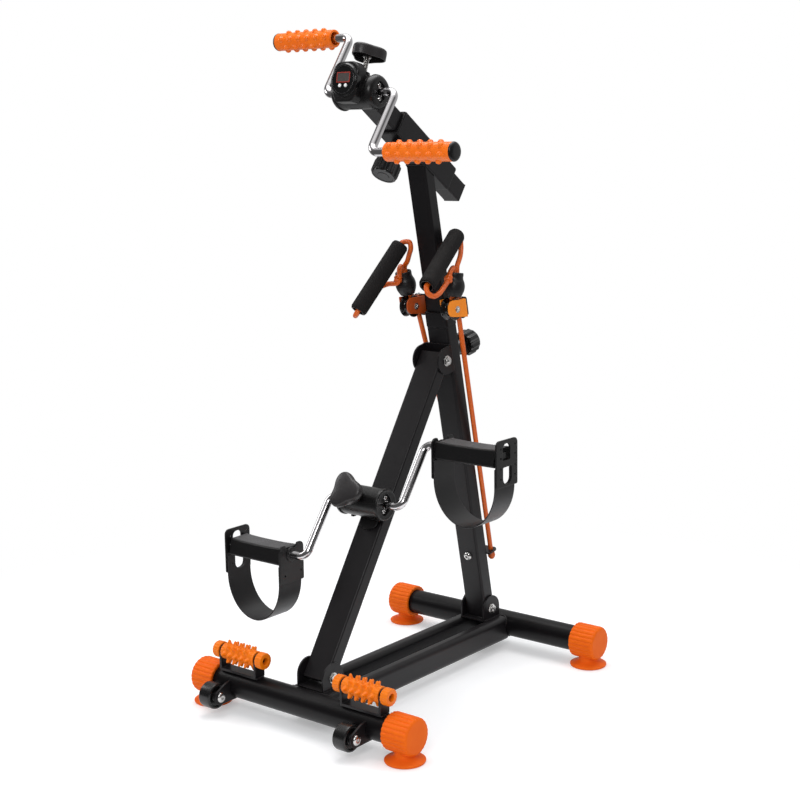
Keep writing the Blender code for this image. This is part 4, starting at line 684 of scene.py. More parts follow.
# %% Rounded outlines
def rounded(points, radius, closed=True, steps=5):
    """The points with each corner replaced by an arc. The radius is one number or one for each."""
    points = [Vector(point) for point in points]
    count = len(points)
    radii = radius if isinstance(radius, (list, tuple)) else [radius] * count
    found = []
    for index, corner in enumerate(points):
        if radii[index] <= 0 or (not closed and index in (0, count - 1)):
            found.append(corner)
            continue
        before = (points[index - 1] - corner).normalized()
        after = (points[(index + 1) % count] - corner).normalized()
        half = before.angle(after) / 2
        centre = corner + (before + after).normalized() * (radii[index] / math.sin(half))
        reach = radii[index] / math.tan(half)
        first = (corner + before * reach - centre).normalized()
        last = (corner + after * reach - centre).normalized()
        found += [centre + first.slerp(last, step / steps) * radii[index] for step in range(steps + 1)]
    return found


def soft_profile(points, radius, steps=3):
    """A turned profile whose inner corners are rounded, as (radius, height) pairs."""
    return [tuple(point) for point in rounded(points, radius, closed=False, steps=steps)]


def arc(radius, first, last, steps, centre=(0.0, 0.0), squash=1.0):
    angles = [math.radians(first + (last - first) * step / steps) for step in range(steps + 1)]
    return [
        Vector((centre[0] + radius * math.cos(a), centre[1] + radius * squash * math.sin(a)))
        for a in angles
    ]


def rectangle(width, height, centre=(0.0, 0.0)):
    x, y = centre
    half, rise = width / 2, height / 2
    return [(x - half, y - rise), (x + half, y - rise), (x + half, y + rise), (x - half, y + rise)]


# %% Plates, tubes and boxes
def gathered(item, place=UPRIGHT):
    """The bmesh of an object's evaluated shape. The object is removed."""
    bpy.context.view_layer.update()
    mesh = bpy.data.meshes.new_from_object(item.evaluated_get(bpy.context.evaluated_depsgraph_get()))
    data = item.data
    bpy.data.objects.remove(item, do_unlink=True)
    if isinstance(data, bpy.types.Curve):
        bpy.data.curves.remove(data)
    else:
        bpy.data.meshes.remove(data)
    mesh.transform(place)
    shape = bmesh.new()
    shape.from_mesh(mesh)
    bpy.data.meshes.remove(mesh)
    bmesh.ops.remove_doubles(shape, verts=shape.verts, dist=0.000005)
    return shape


def slab(loops, thickness, edge, facing=UPRIGHT, spot=(0.0, 0.0, 0.0)):
    """A flat outline, with its holes as further loops, cut from plate with a rounded edge."""
    curve = bpy.data.curves.new("slab", "CURVE")
    curve.dimensions = "2D"
    curve.fill_mode = "BOTH"
    curve.extrude = thickness / 2 - edge
    curve.bevel_depth = edge
    curve.bevel_resolution = 1
    curve.offset = -edge
    for index, loop in enumerate(loops):
        area = sum(a[0] * b[1] - b[0] * a[1] for a, b in zip(loop, [*loop[1:], loop[0]]))
        points = loop if (area > 0) == (index == 0) else loop[::-1]
        spline = curve.splines.new("POLY")
        spline.points.add(len(points) - 1)
        spline.use_cyclic_u = True
        for point, (x, y) in zip(spline.points, points):
            point.co = (x, y, 0.0, 1.0)
    item = bpy.data.objects.new("slab", curve)
    bpy.context.scene.collection.objects.link(item)
    return gathered(item, Matrix.Translation(spot) @ facing)


def tube_loops(*sizes):
    """Centred outlines with rounded corners. A size is (width, depth, corner)."""
    return [rounded(rectangle(width, depth), corner) for width, depth, corner in sizes]


def box_tube(width, depth, wall, corner, low, high):
    """A rectangular tube along Z with rounded corners and softened ends."""
    loops = tube_loops((width, depth, corner), (width - 2 * wall, depth - 2 * wall, corner / 2))
    return slab(loops, high - low, 0.0003, spot=(0, 0, (low + high) / 2))


def box(low, high, edge, segments=3):
    """A box between two corners with rounded edges."""
    low, high = Vector(low), Vector(high)
    shape = bmesh.new()
    size = Matrix.Diagonal((*(high - low), 1.0))
    bmesh.ops.create_cube(shape, size=1.0, matrix=Matrix.Translation((low + high) / 2) @ size)
    if edge:
        bmesh.ops.bevel(
            shape, geom=shape.edges[:], offset=edge, segments=segments, profile=0.5, affect="EDGES",
        )
    return shape


# %% Booleans and edge rounding
def combine(shape, other, how="DIFFERENCE"):
    """One solid out of two bmeshes: a cut, a trim to what is common, or a union."""
    items = []
    for each in (shape, other):
        bmesh.ops.recalc_face_normals(each, faces=each.faces)
        mesh = bpy.data.meshes.new("combined")
        each.to_mesh(mesh)
        each.free()
        items.append(bpy.data.objects.new("combined", mesh))
        bpy.context.scene.collection.objects.link(items[-1])
    change = items[0].modifiers.new("combine", "BOOLEAN")
    change.operation = how
    change.object = items[1]
    change.solver = "EXACT"
    made = gathered(items[0])
    other_mesh = items[1].data
    bpy.data.objects.remove(items[1], do_unlink=True)
    bpy.data.meshes.remove(other_mesh)
    return made


SHARP, FLAT = math.radians(40.0), math.radians(1.0)


def round_edges(shape, width):
    """Joins flat neighbours, then rounds every sharp edge, so that it catches the light."""
    bmesh.ops.recalc_face_normals(shape, faces=shape.faces)
    bmesh.ops.dissolve_limit(
        shape, angle_limit=FLAT, verts=shape.verts, edges=shape.edges, use_dissolve_boundaries=False,
    )
    edges = [e for e in shape.edges if len(e.link_faces) == 2 and e.calc_face_angle(0.0) > SHARP]
    bmesh.ops.bevel(
        shape, geom=edges, offset=width, segments=2, profile=0.5, affect="EDGES", clamp_overlap=True,
    )
    return shape


# %% Rods, cords and weld beads
def spline(points, steps):
    """Points of a smooth curve through the given ones."""
    points = [Vector(point) for point in points]
    ends = [points[0] * 2 - points[1]] + points + [points[-1] * 2 - points[-2]]
    found = []
    for index in range(1, len(ends) - 2):
        a, b, c, d = ends[index - 1:index + 3]
        for step in range(steps):
            t = step / steps
            bend = (2 * a - 5 * b + 4 * c - d) * t**2 + (3 * b - a - 3 * c + d) * t**3
            found.append(b + (c - a) * t / 2 + bend / 2)
    return found + [points[-1]]


def sweep(route, radius, sides, swell=None, closed=False):
    """A round section carried along a route without twisting."""
    route = [Vector(point) for point in route]
    rings, normal, count = [], None, len(route)
    for index, spot in enumerate(route):
        if closed:
            ahead = (route[(index + 1) % count] - route[index - 1]).normalized()
        else:
            ahead = (route[min(index + 1, count - 1)] - route[max(index - 1, 0)]).normalized()
        normal = ahead.orthogonal() if normal is None else normal
        normal = (normal - ahead * normal.dot(ahead)).normalized()
        side = ahead.cross(normal)
        size = radius * (swell[index] if swell else 1.0)
        rings.append([spot + (normal * math.cos(a) + side * math.sin(a)) * size for a in turn_angles(sides)])
    return loft(rings, closed)


DROP_PITCH = 0.0011


def weld_bead(route, radius, closed=False):
    """A weld's run of overlapping drops along a route."""
    route = [Vector(point) for point in route]
    if closed:
        route.append(route[0])
    points, carried = [], 0.0
    for start, end in zip(route, route[1:]):
        length = (end - start).length
        while carried < length:
            points.append(start.lerp(end, carried / length))
            carried += DROP_PITCH
        carried -= length
    swell = [
        0.85 + 0.16 * (index % 2) + 0.3 * (noise.noise(point * 900) + 0.2)
        for index, point in enumerate(points)
    ]
    return sweep(points, radius, 8, swell, closed)


print("shape helpers ready")

# %% [markdown]
# ## Feet
#
# Two round steel tubes lie across the floor. Each end has a rubber cap that is pushed on, fluted so a
# hand can turn it, with a suction foot moulded under it. The flutes are made in the rings themselves:
# the radius dips a little many times round. They fade out at the chamfer, as they do on the moulding.

# %% Foot tubes
WHEELBASE = 0.4868
HALF_WIDTH = 0.215
TUBE_RADIUS = 0.021
TUBE_HEIGHT = 0.0405
RIM = 0.0194
ENDS = (("front", 0.0), ("rear", WHEELBASE))
SIDES = (("right", 1), ("left", -1))
for word, y in ENDS:
    half = HALF_WIDTH - 0.0065
    profile = [(RIM, half), (TUBE_RADIUS, half), (TUBE_RADIUS, -half), (RIM, -half)]
    # The crosstubes take the darker copy of the frame's paint: painted shade.
    mount(
        f"{word}_crosstube", lathe(profile, 72, closed=True),
        BASE @ at((0, y, TUBE_HEIGHT)) @ along_x(), TUBE_SHADED_PAINT, "base", f"{word}_foot_tube",
    )
print("crosstubes", WHEELBASE, "m apart")


# %% Foot caps
def fluted(count, depth, sharpness=3.0):
    """A radius function: a round that dips that many times round."""
    def radius_of(radius, share=1.0):
        def radius_at(angle):
            groove = (0.5 + 0.5 * math.cos(count * angle)) ** sharpness
            return radius - depth * share * groove
        return radius_at
    return radius_of


CAP_STATIONS = [
    (0.0003, 0.0232, 0.0), (0.0, 0.0262, 0.6), (0.0009, 0.0277, 1.0), (0.002, 0.028, 1.0),
    (0.0395, 0.028, 1.0), (0.0418, 0.0276, 0.9), (0.0436, 0.0262, 0.45), (0.0446, 0.0244, 0.12),
    (0.045, 0.0222, 0.0), (0.045, 0.012, 0.0),
]
CUP_PROFILE = [
    (0.0, 0.022), (0.0155, 0.022), (0.0155, 0.0135), (0.0158, 0.0105), (0.0178, 0.0082),
    (0.0222, 0.0064), (0.0288, 0.0044), (0.0299, 0.0036), (0.03, 0.0022), (0.0291, 0.0005),
    (0.027, 0.0), (0.024, 0.0004), (0.012, 0.003), (0.0, 0.0036),
]
FLUTES = 24
CAP_BORE, CAP_STEPS = 0.0213, 192
cap_flutes = fluted(FLUTES, 0.0013)
for word, y in ENDS:
    for side_word, side in SIDES:
        rings = [ring(0.0, 0.012)] + [ring(CAP_BORE, z, CAP_STEPS) for z in (0.012, 0.0012)]
        rings += [ring(cap_flutes(r, share), z, CAP_STEPS) for z, r, share in CAP_STATIONS]
        cap = loft([*rings, ring(0.0, 0.0451)])
        cap.transform(at((side * (HALF_WIDTH - 0.045), y, TUBE_HEIGHT)) @ along_x(side))
        cup = lathe(soft_profile(CUP_PROFILE, [0, 0, 0, 0.001] + [0] * 10), 64)
        add(cap, cup, at((side * (HALF_WIDTH - 0.0225), y, 0.0)))
        mount(
            f"{word}_{side_word}_fluted_cap", cap, BASE, CAP_ORANGE, "base",
            f"foot_cap_{word}_{side_word}", sharp=28.0,
        )
print("4 caps with", FLUTES, "flutes each")

# %% [markdown]
# ## Rails and brackets
#
# Two flat tubes join the crosstubes. Their ends are coped, which means cut to the round they meet, and
# welded. A boolean with the tube's round makes the cope, and a swept run of drops makes the weld.

# %% Rails
RAIL_TOP = 0.0565
RAIL_X = 0.0292
RAIL_WIDTH, RAIL_HEIGHT = 0.023, 0.0415
rail_centre = (0.0, RAIL_TOP - RAIL_HEIGHT / 2)
rail_outline = rounded(rectangle(RAIL_WIDTH, RAIL_HEIGHT, rail_centre), 0.0095, steps=9)
rail_length = WHEELBASE - 0.024
for side_word, side in SIDES:
    bar = slab([rail_outline], rail_length, 0.0002, FRONTAL, (side * RAIL_X, WHEELBASE / 2, 0))
    welds = bmesh.new()
    for word, y in ENDS:
        cope = cylinder(TUBE_RADIUS + 0.0001, -0.08, 0.08, 96)
        cope.transform(at((0, y, TUBE_HEIGHT)) @ along_x())
        bar = combine(bar, cope)
        inward = 1 if y == 0.0 else -1
        seam = []
        for x, z in rail_outline:
            rise = z - TUBE_HEIGHT
            if abs(rise) < TUBE_RADIUS - 0.0004:
                seam.append((side * RAIL_X + x, y + inward * math.sqrt(TUBE_RADIUS**2 - rise**2), z))
        split = max(range(len(seam)), key=lambda i: (Vector(seam[i]) - Vector(seam[i - 1])).length)
        seam = seam[split:] + seam[:split]
        add(welds, weld_bead(seam, 0.0015))
    mount(f"{side_word}_rail", bar, BASE, BLACK_PAINT, "base", f"rail_{side_word}")
    mount(f"{side_word}_rail_welds", welds, BASE, BLACK_PAINT, "base", sharp=60)
print("rails", round(rail_length, 3), "m long")


# %% Bent brackets
def u_section(inner, outer, back, floor, right, left, bend=0.003, crease=0.0008):
    """A U bent from strip: its back, the floor inside, and the ends of its right and left legs."""
    section = [
        (-outer, back), (outer, back), (outer, right), (inner, right), (inner, floor), (-inner, floor),
        (-inner, left), (-outer, left),
    ]
    return rounded(section, [bend, bend, 0.0, 0.0, crease, crease, 0.0, 0.0])


def bent_bracket(inner, wall, length, low, floor, top, side_loop):
    """A U seen from the front, then trimmed to its outline from the side."""
    outer = inner + wall
    shape = slab([u_section(inner, outer, low, floor, top, top)], length, 0.0, FRONTAL)
    trim = slab([side_loop], 2 * outer + 0.01, 0.0, SIDEWAYS)
    return round_edges(combine(shape, trim, "INTERSECT"), 0.0004)


CHEEK = 0.023
BRACKET_WALL = 0.003
BRACKET_LOW = -0.0175
GRIP_GAP = 0.00045
STRUT_GRIP = STRUT_WIDTH / 2 + GRIP_GAP
POST_GRIP = POST_WIDTH / 2 + GRIP_GAP
for name, inner, place in (
    ("strut_foot", STRUT_GRIP, at(STRUT.translation)), ("post_foot", POST_GRIP, POST_FOOT),
):
    low = BRACKET_LOW
    loop = [Vector((y, low - 0.0002)) for y in (-CHEEK, CHEEK)] + arc(CHEEK, 0, 180, 28)
    shape = bent_bracket(inner, BRACKET_WALL, 3 * CHEEK, low, low + 0.0025, CHEEK + 0.01, loop)
    outer = inner + BRACKET_WALL
    for side in (-1, 1):
        run = [(side * outer, y, low + 0.0002) for y in (-CHEEK + 0.001, CHEEK - 0.001)]
        add(shape, weld_bead(run, 0.0012))
    mount(f"{name}_cheeks", shape, place, BLACK_PAINT, "base", f"{name}_bracket")
print("brackets for the strut and the post")


# %% Bolts and nuts
HEX_STEPS = 36


def hexagon(radius):
    """A radius function for a hexagon of that corner radius."""
    def radius_at(angle):
        turned = (angle % (math.pi / 3)) - math.pi / 6
        return radius * math.cos(math.pi / 6) / math.cos(turned)
    return radius_at


def hex_nut(radius, height, washer=0.0):
    """A chamfered nut standing on Z 0, on a washer, with the bolt's threaded end in it."""
    stations = [
        (hexagon(radius), 0.0), (hexagon(radius), height - 0.0009), (radius * 0.86, height - 0.0001),
        (radius * 0.62, height), (radius * 0.55, height - 0.0007), (0.0, height - 0.0007),
    ]
    shape = loft([ring(0.0, 0.0)] + [ring(size, z, HEX_STEPS) for size, z in stations])
    tip = [(0.0, height + 0.0016), (radius * 0.34, height + 0.0016), (radius * 0.44, height + 0.001)]
    for index in range(4):
        tip.append((radius * 0.5, height + 0.0006 - 0.0006 * index))
        tip.append((radius * 0.43, height + 0.0003 - 0.0006 * index))
    add(shape, lathe(tip + [(0.0, height - 0.003)], 24))
    if washer:
        rim = soft_profile([(0, 0.001), (washer, 0.001), (washer, 0.0), (0, 0.0)], [0, 0.0003, 0.0003, 0])
        add(shape, lathe(rim, 40))
    return shape


def dome_bolt(radius, height, socket=0.0028):
    """A domed head standing on Z 0 with a hexagonal socket."""
    stations = [
        (0.0, height - 0.0022), (hexagon(socket), height - 0.0022), (hexagon(socket), height - 0.0003),
        (socket * 1.25, height), (radius * 0.62, height * 0.93), (radius * 0.86, height * 0.66),
        (radius * 0.98, height * 0.34), (radius, 0.0004), (radius, 0.0), (0.0, 0.0),
    ]
    return loft([ring(size, z, HEX_STEPS) for size, z in stations])


def cross_bolt(name, place, grip, body, replaces, shank=True):
    """A bolt across two cheeks: washer and nut on the right, domed head on the left."""
    outside = grip + BRACKET_WALL
    shape = hex_nut(0.0074, 0.0042, 0.0085)
    shape.transform(along_x(1, outside))
    add(shape, dome_bolt(0.0076, 0.0045), along_x(-1, -outside))
    if shank:
        add(shape, cylinder(0.005, -outside, outside), along_x())
    mount(name, shape, place, STEEL, body, replaces)


cross_bolt("strut_foot_pin", at(STRUT.translation), STRUT_GRIP, "base", "strut_foot_bolt")
cross_bolt("post_foot_pin", POST_FOOT, POST_GRIP, "base", "post_foot_bolt", shank=False)
cross_bolt("hinge_pin", POST, STRUT_GRIP, "post", "hinge_bolt")
print("3 cross bolts")

# %% [markdown]
# ## Massage rollers
#
# Each roller turns on an axle between the two ends of a bent strip. It has eight rows of soft cones,
# and its plain ends are lightly fluted. A cone is lathed once with a rounded tip and copied round in
# rows, each other row half a pitch along. The axle's fluted nuts have a deep bore with a screw in it.

# %% Rollers
ROLLER_SPOT = (0.12275, -0.0045, 0.091)
ROLLER_HALF = 0.034
ROWS, CONE_PITCH = 8, 0.0125
STRIP_HALF, STRIP_WALL = 0.01, 0.004
ROLLER_STATIONS = [
    (0.006, -1.0, 0.0), (0.0118, -1.0, 0.5), (0.0125, -0.97, 1.0), (0.0125, -0.8, 1.0),
    (0.0121, -0.77, 0.0), (0.0121, 0.77, 0.0), (0.0125, 0.8, 1.0), (0.0125, 0.97, 1.0),
    (0.0118, 1.0, 0.5), (0.006, 1.0, 0.0),
]
NUT_STATIONS = [
    (0.0, 0.0, 0.0), (0.012, 0.0, 0.6), (0.0128, 0.0008, 1.0), (0.0128, 0.0108, 1.0),
    (0.0122, 0.012, 0.6), (0.0108, 0.0125, 0.0), (0.0064, 0.0125, 0.0), (0.0058, 0.0119, 0.0),
    (0.0056, 0.004, 0.0), (0.0, 0.004, 0.0),
]
CONE = [
    (0.0, 0.0115), (0.0046, 0.0118), (0.0036, 0.0132), (0.0029, 0.015), (0.0023, 0.0168),
    (0.0018, 0.018), (0.001, 0.0188), (0.0, 0.019),
]
for side_word, side in SIDES:
    hub = BASE @ at(on_side(side, ROLLER_SPOT))
    dips = fluted(20, 0.0006, 2.0)
    rings = [ring(dips(r, share), z * ROLLER_HALF, 120) for r, z, share in ROLLER_STATIONS]
    roller = loft(rings, closed=True)
    cones = 0
    for row in range(ROWS):
        count = 4 if row % 2 else 5
        cones += count
        turn = Matrix.Rotation(math.tau * row / ROWS, 4, "Z") @ along_x()
        for index in range(count):
            z = (index - (count - 1) / 2) * CONE_PITCH
            add(roller, lathe(CONE, 14), Matrix.Translation((0, 0, z)) @ turn)
    mount(
        f"{side_word}_spiked_roller", roller, hub @ along_x(), ROLLER_ORANGE,
        f"massage_roller_{side_word}", f"massage_roller_{side_word}",
    )
    inner = ROLLER_HALF + 0.0003
    low = 0.0618 - ROLLER_SPOT[2]
    loop = [Vector((y, low - 0.0004)) for y in (-STRIP_HALF, STRIP_HALF)] + arc(STRIP_HALF, 0, 180, 20)
    strip = bent_bracket(inner, STRIP_WALL, 0.04, low, low + STRIP_WALL, 0.02, loop)
    for end in (-1, 1):
        run = [(end * (inner + STRIP_WALL), y, low + 0.0004) for y in (-0.0085, 0.0085)]
        add(strip, weld_bead(run, 0.0013))
    mount(f"{side_word}_roller_strip", strip, hub, BLACK_PAINT, "base", f"roller_bracket_{side_word}")
    nut_dips = fluted(16, 0.0007, 2.0)
    nuts = cylinder(0.005, -0.0385, 0.0385)
    nuts.transform(along_x())
    screws = bmesh.new()
    for end in (-1, 1):
        nut = loft([ring(nut_dips(r, share) if r else 0.0, z, 96) for r, z, share in NUT_STATIONS])
        add(nuts, nut, along_x(end) @ at((0, 0, inner + 0.0043)))
        add(screws, dome_bolt(0.0046, 0.0034, 0.002), along_x(end) @ at((0, 0, inner + 0.0083)))
    mount(f"{side_word}_roller_nuts", nuts, hub, ROLLER_ORANGE, "base", f"roller_axle_{side_word}")
    # The screws are near-black: painted shade in the bores.
    mount(f"{side_word}_roller_screws", screws, hub, SHADOW_BLACK, "base")
print("2 rollers with", cones, "cones each")

# %% [markdown]
# ## Transport wheels
#
# Each wheel stands on a stub bolt in a teardrop plate that is welded to the front tube, just clear of
# the floor, so the machine rolls only when it is tipped. The wheel is turned, with rounded shoulders
# and a recessed face round a hub.

# %% Wheels
WHEEL_SPOT = (0.1355, -0.0405, 0.031)
WHEEL_PROFILE = [
    (0.0049, -0.0045), (0.0072, -0.0045), (0.0078, -0.0055), (0.0078, -0.0064), (0.009, -0.0072),
    (0.015, -0.0072), (0.016, -0.0064), (0.016, -0.0052), (0.0168, -0.0045), (0.0178, -0.0047),
    (0.0193, -0.0057), (0.02, -0.0078), (0.02, -0.0242), (0.0193, -0.0263), (0.0178, -0.0273),
    (0.0168, -0.0275), (0.016, -0.0268), (0.016, -0.0256), (0.015, -0.0248), (0.009, -0.0248),
    (0.0078, -0.0256), (0.0078, -0.0265), (0.0072, -0.0275), (0.0049, -0.0275),
]
TUBE_OFFSET = (0.0405, 0.0095)
for side_word, side in SIDES:
    hub = BASE @ at(on_side(side, WHEEL_SPOT))
    mount(
        f"{side_word}_wheel", lathe(WHEEL_PROFILE, 72, closed=True), hub @ along_x(), TYRE_BLACK,
        f"transport_wheel_{side_word}", f"transport_wheel_{side_word}",
    )
    tilt = math.degrees(math.atan2(TUBE_OFFSET[1], TUBE_OFFSET[0]))
    loop = arc(0.012, 90 + tilt + 10, 270 + tilt - 10, 20)
    loop += [Vector((TUBE_OFFSET[0], z)) for z in (-0.0115, 0.0235)] + [Vector((0.012, 0.019))]
    loop = rounded(loop, [0.0] * 21 + [0.0, 0.0, 0.012], steps=6)
    plate = slab([loop], 0.0035, 0.0006, SIDEWAYS)
    tube = cylinder(TUBE_RADIUS - 0.0005, -0.02, 0.02, 64)
    tube.transform(at((0, *TUBE_OFFSET)) @ along_x())
    plate = combine(plate, tube)
    collar = soft_profile([(0, 0.0028), (0.0092, 0.0028), (0.0092, 0.0), (0, 0.0)], [0, 0.0006, 0, 0])
    add(plate, lathe(collar, 40), along_x())
    mount(f"{side_word}_wheel_plate", plate, hub, BLACK_PAINT, "base", f"wheel_bracket_{side_word}")
    stub = dome_bolt(0.0078, 0.0032, 0.0026)
    stub.transform(along_x(1, 0.0026))
    add(stub, cylinder(0.0045, -0.0278, 0.0), along_x())
    add(stub, hex_nut(0.0074, 0.0026), along_x(-1, -0.0276))
    mount(f"{side_word}_wheel_bolt", stub, hub, STEEL, "base")
print("2 wheels of", round(2000 * max(WHEEL_PROFILE)[0]), "mm")

# %% [markdown]
# ## The strut
#
# The strut is one straight rectangular tube with rounded corners, pinned at its foot and at its head.
# A plastic plug closes each end.

# %% Strut
strut_span = (POST.translation - STRUT.translation).length
overhang = 0.0092
bar = box_tube(STRUT_WIDTH, STRUT_DEPTH, 0.0016, 0.003, -overhang, strut_span + overhang)
mount("strut_tube", bar, STRUT, BLACK_PAINT, "strut", "strut")
plugs = box((-0.021, -0.0092, -0.0096), (0.021, 0.0092, -0.006), 0.0008)
add(plugs, box((-0.021, -0.0092, strut_span + 0.006), (0.021, 0.0092, strut_span + 0.0096), 0.0008))
mount("strut_plugs", plugs, STRUT, BLACK_PLASTIC, "strut")
print("strut", round(strut_span, 4), "m between pins")


# %% [markdown]
# ## The lower barrel
#
# The foot crank turns in a short barrel that is bolted through a saddle to the strut. Each end of the
# barrel has a raised rim and a lens-shaped pocket, with a clamp bolt above the rod and one below it. The
# pocket's outline and the round rim have the same number of points, so a loft joins one to the other.

# %% Barrel ends
def lens(width, height, power=1.5):
    """A radius function for an upright lens shape."""
    def radius_at(angle):
        across, tall = abs(math.cos(angle)) / width, abs(math.sin(angle)) / height
        return (across**power + tall**power) ** (-1 / power)
    return radius_at


def barrel_end(stations, pocket_depth, pocket, half):
    """An end cap about Z: the pocket's floor and wall, then round stations (radius, height)."""
    lens_shape = lens(*pocket)
    top = stations[0][1]
    inside = [(0.0, top - pocket_depth), (lens_shape, top - pocket_depth), (lens_shape, top - 0.0006)]
    inside.append((lambda angle: lens_shape(angle) + 0.0007, top))
    return loft([ring(radius, height, 72) for radius, height in inside + stations + [(0.0, half)]])


def pocket_bolts(spread, floor):
    """Two small bright bolts in each end's pocket, above and below the rod."""
    shape = bmesh.new()
    for rise in (-spread, spread):
        for side in (-1, 1):
            add(shape, dome_bolt(0.0037, 0.003, 0.0015), at((0, 0, rise)) @ along_x(side, side * floor))
    return shape


FOOT_END = [
    (0.0205, 0.0405), (0.0222, 0.041), (0.024, 0.0404), (0.0249, 0.039), (0.025, 0.0362),
    (0.0243, 0.0352),
]
barrel = cylinder(0.0235, -0.0356, 0.0356, 72)
barrel.transform(along_x())
for side in (1, -1):
    end = barrel_end(FOOT_END, 0.0036, (0.0138, 0.0172), 0.034)
    end.transform(Matrix.Rotation(math.radians(90), 4, "Z"))
    add(barrel, end, along_x(side))
mount("foot_barrel", barrel, FOOT_BARREL, BLACK_PLASTIC, "strut", "foot_housing")
mount("foot_pocket_bolts", pocket_bolts(0.0108, 0.0366), FOOT_BARREL, STEEL, "strut")
print("barrel end has", len(FOOT_END), "round stations")

# %% Saddle
face = FOOT_SETBACK - STRUT_DEPTH / 2 - 0.0003
saddle = box((-0.0165, 0.01, -0.02), (0.0165, face, 0.02), 0.0015)
pad_loop = rounded(
    [(-0.0165, -0.03), (0.0, -0.042), (0.0165, -0.03), (0.0165, 0.03), (-0.0165, 0.03)],
    [0.008, 0.02, 0.008, 0.006, 0.006],
)
pad = slab([pad_loop], 0.004, 0.001, FRONTAL, (0, face - 0.002, 0))
add(saddle, pad)
for side in (-1, 1):
    horseshoe = arc(0.0272, -62, 62, 26) + arc(0.0236, 62, -62, 26)
    add(saddle, slab([horseshoe], 0.006, 0.0008, SIDEWAYS, (side * 0.025, 0, 0)))
mount("foot_saddle", saddle, FOOT, BLACK_PLASTIC, "strut")
print("saddle on the strut's front")


# %% [markdown]
# ## Tension knobs
#
# Both knobs are rounded triangles. The lower one is a solid cone with a domed face; the upper one is a
# shallow cup on a long bright screw. A lobed radius function draws the triangle, and its wave can fade
# to nothing, so the same loft runs from a triangle down into a round neck.

# %% Knobs
def lobed(mean, wave, phase=0.0):
    """A radius function with three lobes. The share fades the lobes out."""
    def radius_of(scale, share=1.0):
        def radius_at(angle):
            return scale * (mean + share * wave * math.cos(3 * (angle - math.radians(phase))))
        return radius_at
    return radius_of


triangle = lobed(0.0257, 0.0045)
lobes = [
    (0.3, 0.6, 0.0599), (0.6, 0.9, 0.0595), (0.8, 1.0, 0.0588), (0.91, 1.0, 0.0578),
    (0.97, 1.0, 0.0562), (1.0, 1.0, 0.0538), (1.0, 1.0, 0.0505), (0.975, 1.0, 0.0482),
    (0.92, 0.9, 0.0462), (0.84, 0.6, 0.044), (0.76, 0.3, 0.0415),
]
neck = [
    (0.018, 0.0385), (0.016, 0.0345), (0.0142, 0.031), (0.013, 0.0285), (0.0125, 0.0276),
    (0.012, 0.027), (0.0035, 0.027), (0.0035, 0.013), (0.0, 0.013),
]
rings = [ring(0.0, 0.06)] + [ring(triangle(scale, share), z, 96) for scale, share, z in lobes]
rings += [ring(radius, z, 96) for radius, z in neck]
mount(
    "lower_tension_knob", loft(rings), FOOT_KNOB, KNOB_PLASTIC, "foot_tension_knob",
    "foot_tension_knob", sharp=40,
)
triangle = lobed(0.0242, 0.0038, 30.0)
lobes = [
    (0.45, 0.0694), (0.78, 0.069), (0.9, 0.0682), (0.965, 0.0668), (0.99, 0.065), (1.0, 0.062),
    (1.0, 0.053), (0.985, 0.0525), (0.93, 0.0525), (0.915, 0.0532), (0.9, 0.064), (0.86, 0.0655),
]
neck = [(0.0085, 0.0655), (0.0078, 0.0645), (0.0072, 0.0545), (0.0066, 0.0538), (0.0, 0.0538)]
rings = [ring(0.0, 0.0695)] + [ring(triangle(scale), z, 96) for scale, z in lobes]
rings += [ring(radius, z, 96) for radius, z in neck]
mount(
    "upper_tension_knob", loft(rings), HAND_KNOB, KNOB_PLASTIC, "hand_tension_knob",
    "hand_tension_knob", sharp=40,
)
thread = [(0.0, 0.0129), (0.003, 0.0129)]
for index in range(56):
    z = 0.0135 + index * 0.0007
    thread += [(0.0031, z), (0.0038, z + 0.00035)]
thread += [(0.0031, 0.053), (0.0055, 0.053), (0.0055, 0.056), (0.0, 0.056)]
mount("upper_knob_screw", lathe(thread, 32), HAND_KNOB, STEEL, "hand_tension_knob")
print("2 tension knobs")

# %% [markdown]
# ## Cranks
#
# Each crank is one bent rod: across the machine through the barrel, up on one side and down on the
# other, then out again for a pedal or a grip. A round section swept along a route with rounded corners
# gives the even bends of a real bending tool.

# %% Crank rods
ROD_RADIUS = 0.00635
ROD_BEND = 0.013
FOOT_THROW, HAND_THROW = 0.1064, 0.1036


def crank_rod(plane, throw, end):
    route = [
        (-end, 0, -throw), (-plane, 0, -throw), (-plane, 0, 0), (plane, 0, 0), (plane, 0, throw),
        (end, 0, throw),
    ]
    return sweep(rounded(route, ROD_BEND, closed=False, steps=12), ROD_RADIUS, 40)


mount("foot_crank_rod", crank_rod(0.0699, FOOT_THROW, 0.211), FOOT_CRANK, CHROME, "foot_crank", "foot_crank")
mount("hand_crank_rod", crank_rod(0.0673, HAND_THROW, 0.2165), HAND_CRANK, CHROME, "hand_crank", "hand_crank")
print("2 crank rods of", round(2000 * ROD_RADIUS, 1), "mm")

# %% [markdown]
# ## Pedals
#
# A pedal is a tread between two upright plates. The outer plate is taller and has a window, a slot and a
# row of small holes down each edge. The inner one dips round the rod's collar and has only two holes. A
# strap loops below from plate to plate, and its outer leg has the same slot and the lower edge holes, so
# they go through both. The tread's top sags a little and carries a gritty strip.

# %% Pedal shapes
PLATE_X = 0.0585
PLATE = 0.003
PEDAL_X = 0.16
RIB_PITCH, RIB_SHARE = 0.0043, 0.55


def circle_loop(radius, y, z, steps=14):
    return [Vector((y + radius * math.cos(a), z + radius * math.sin(a))) for a in turn_angles(steps)]


def slot_loop():
    """The slot: flat above, round below."""
    return rounded(
        [(-0.0088, -0.0158), (-0.0088, -0.0415), (0.0128, -0.0415), (0.0128, -0.015)],
        [0.0018, 0.01, 0.01, 0.0018], steps=8,
    )


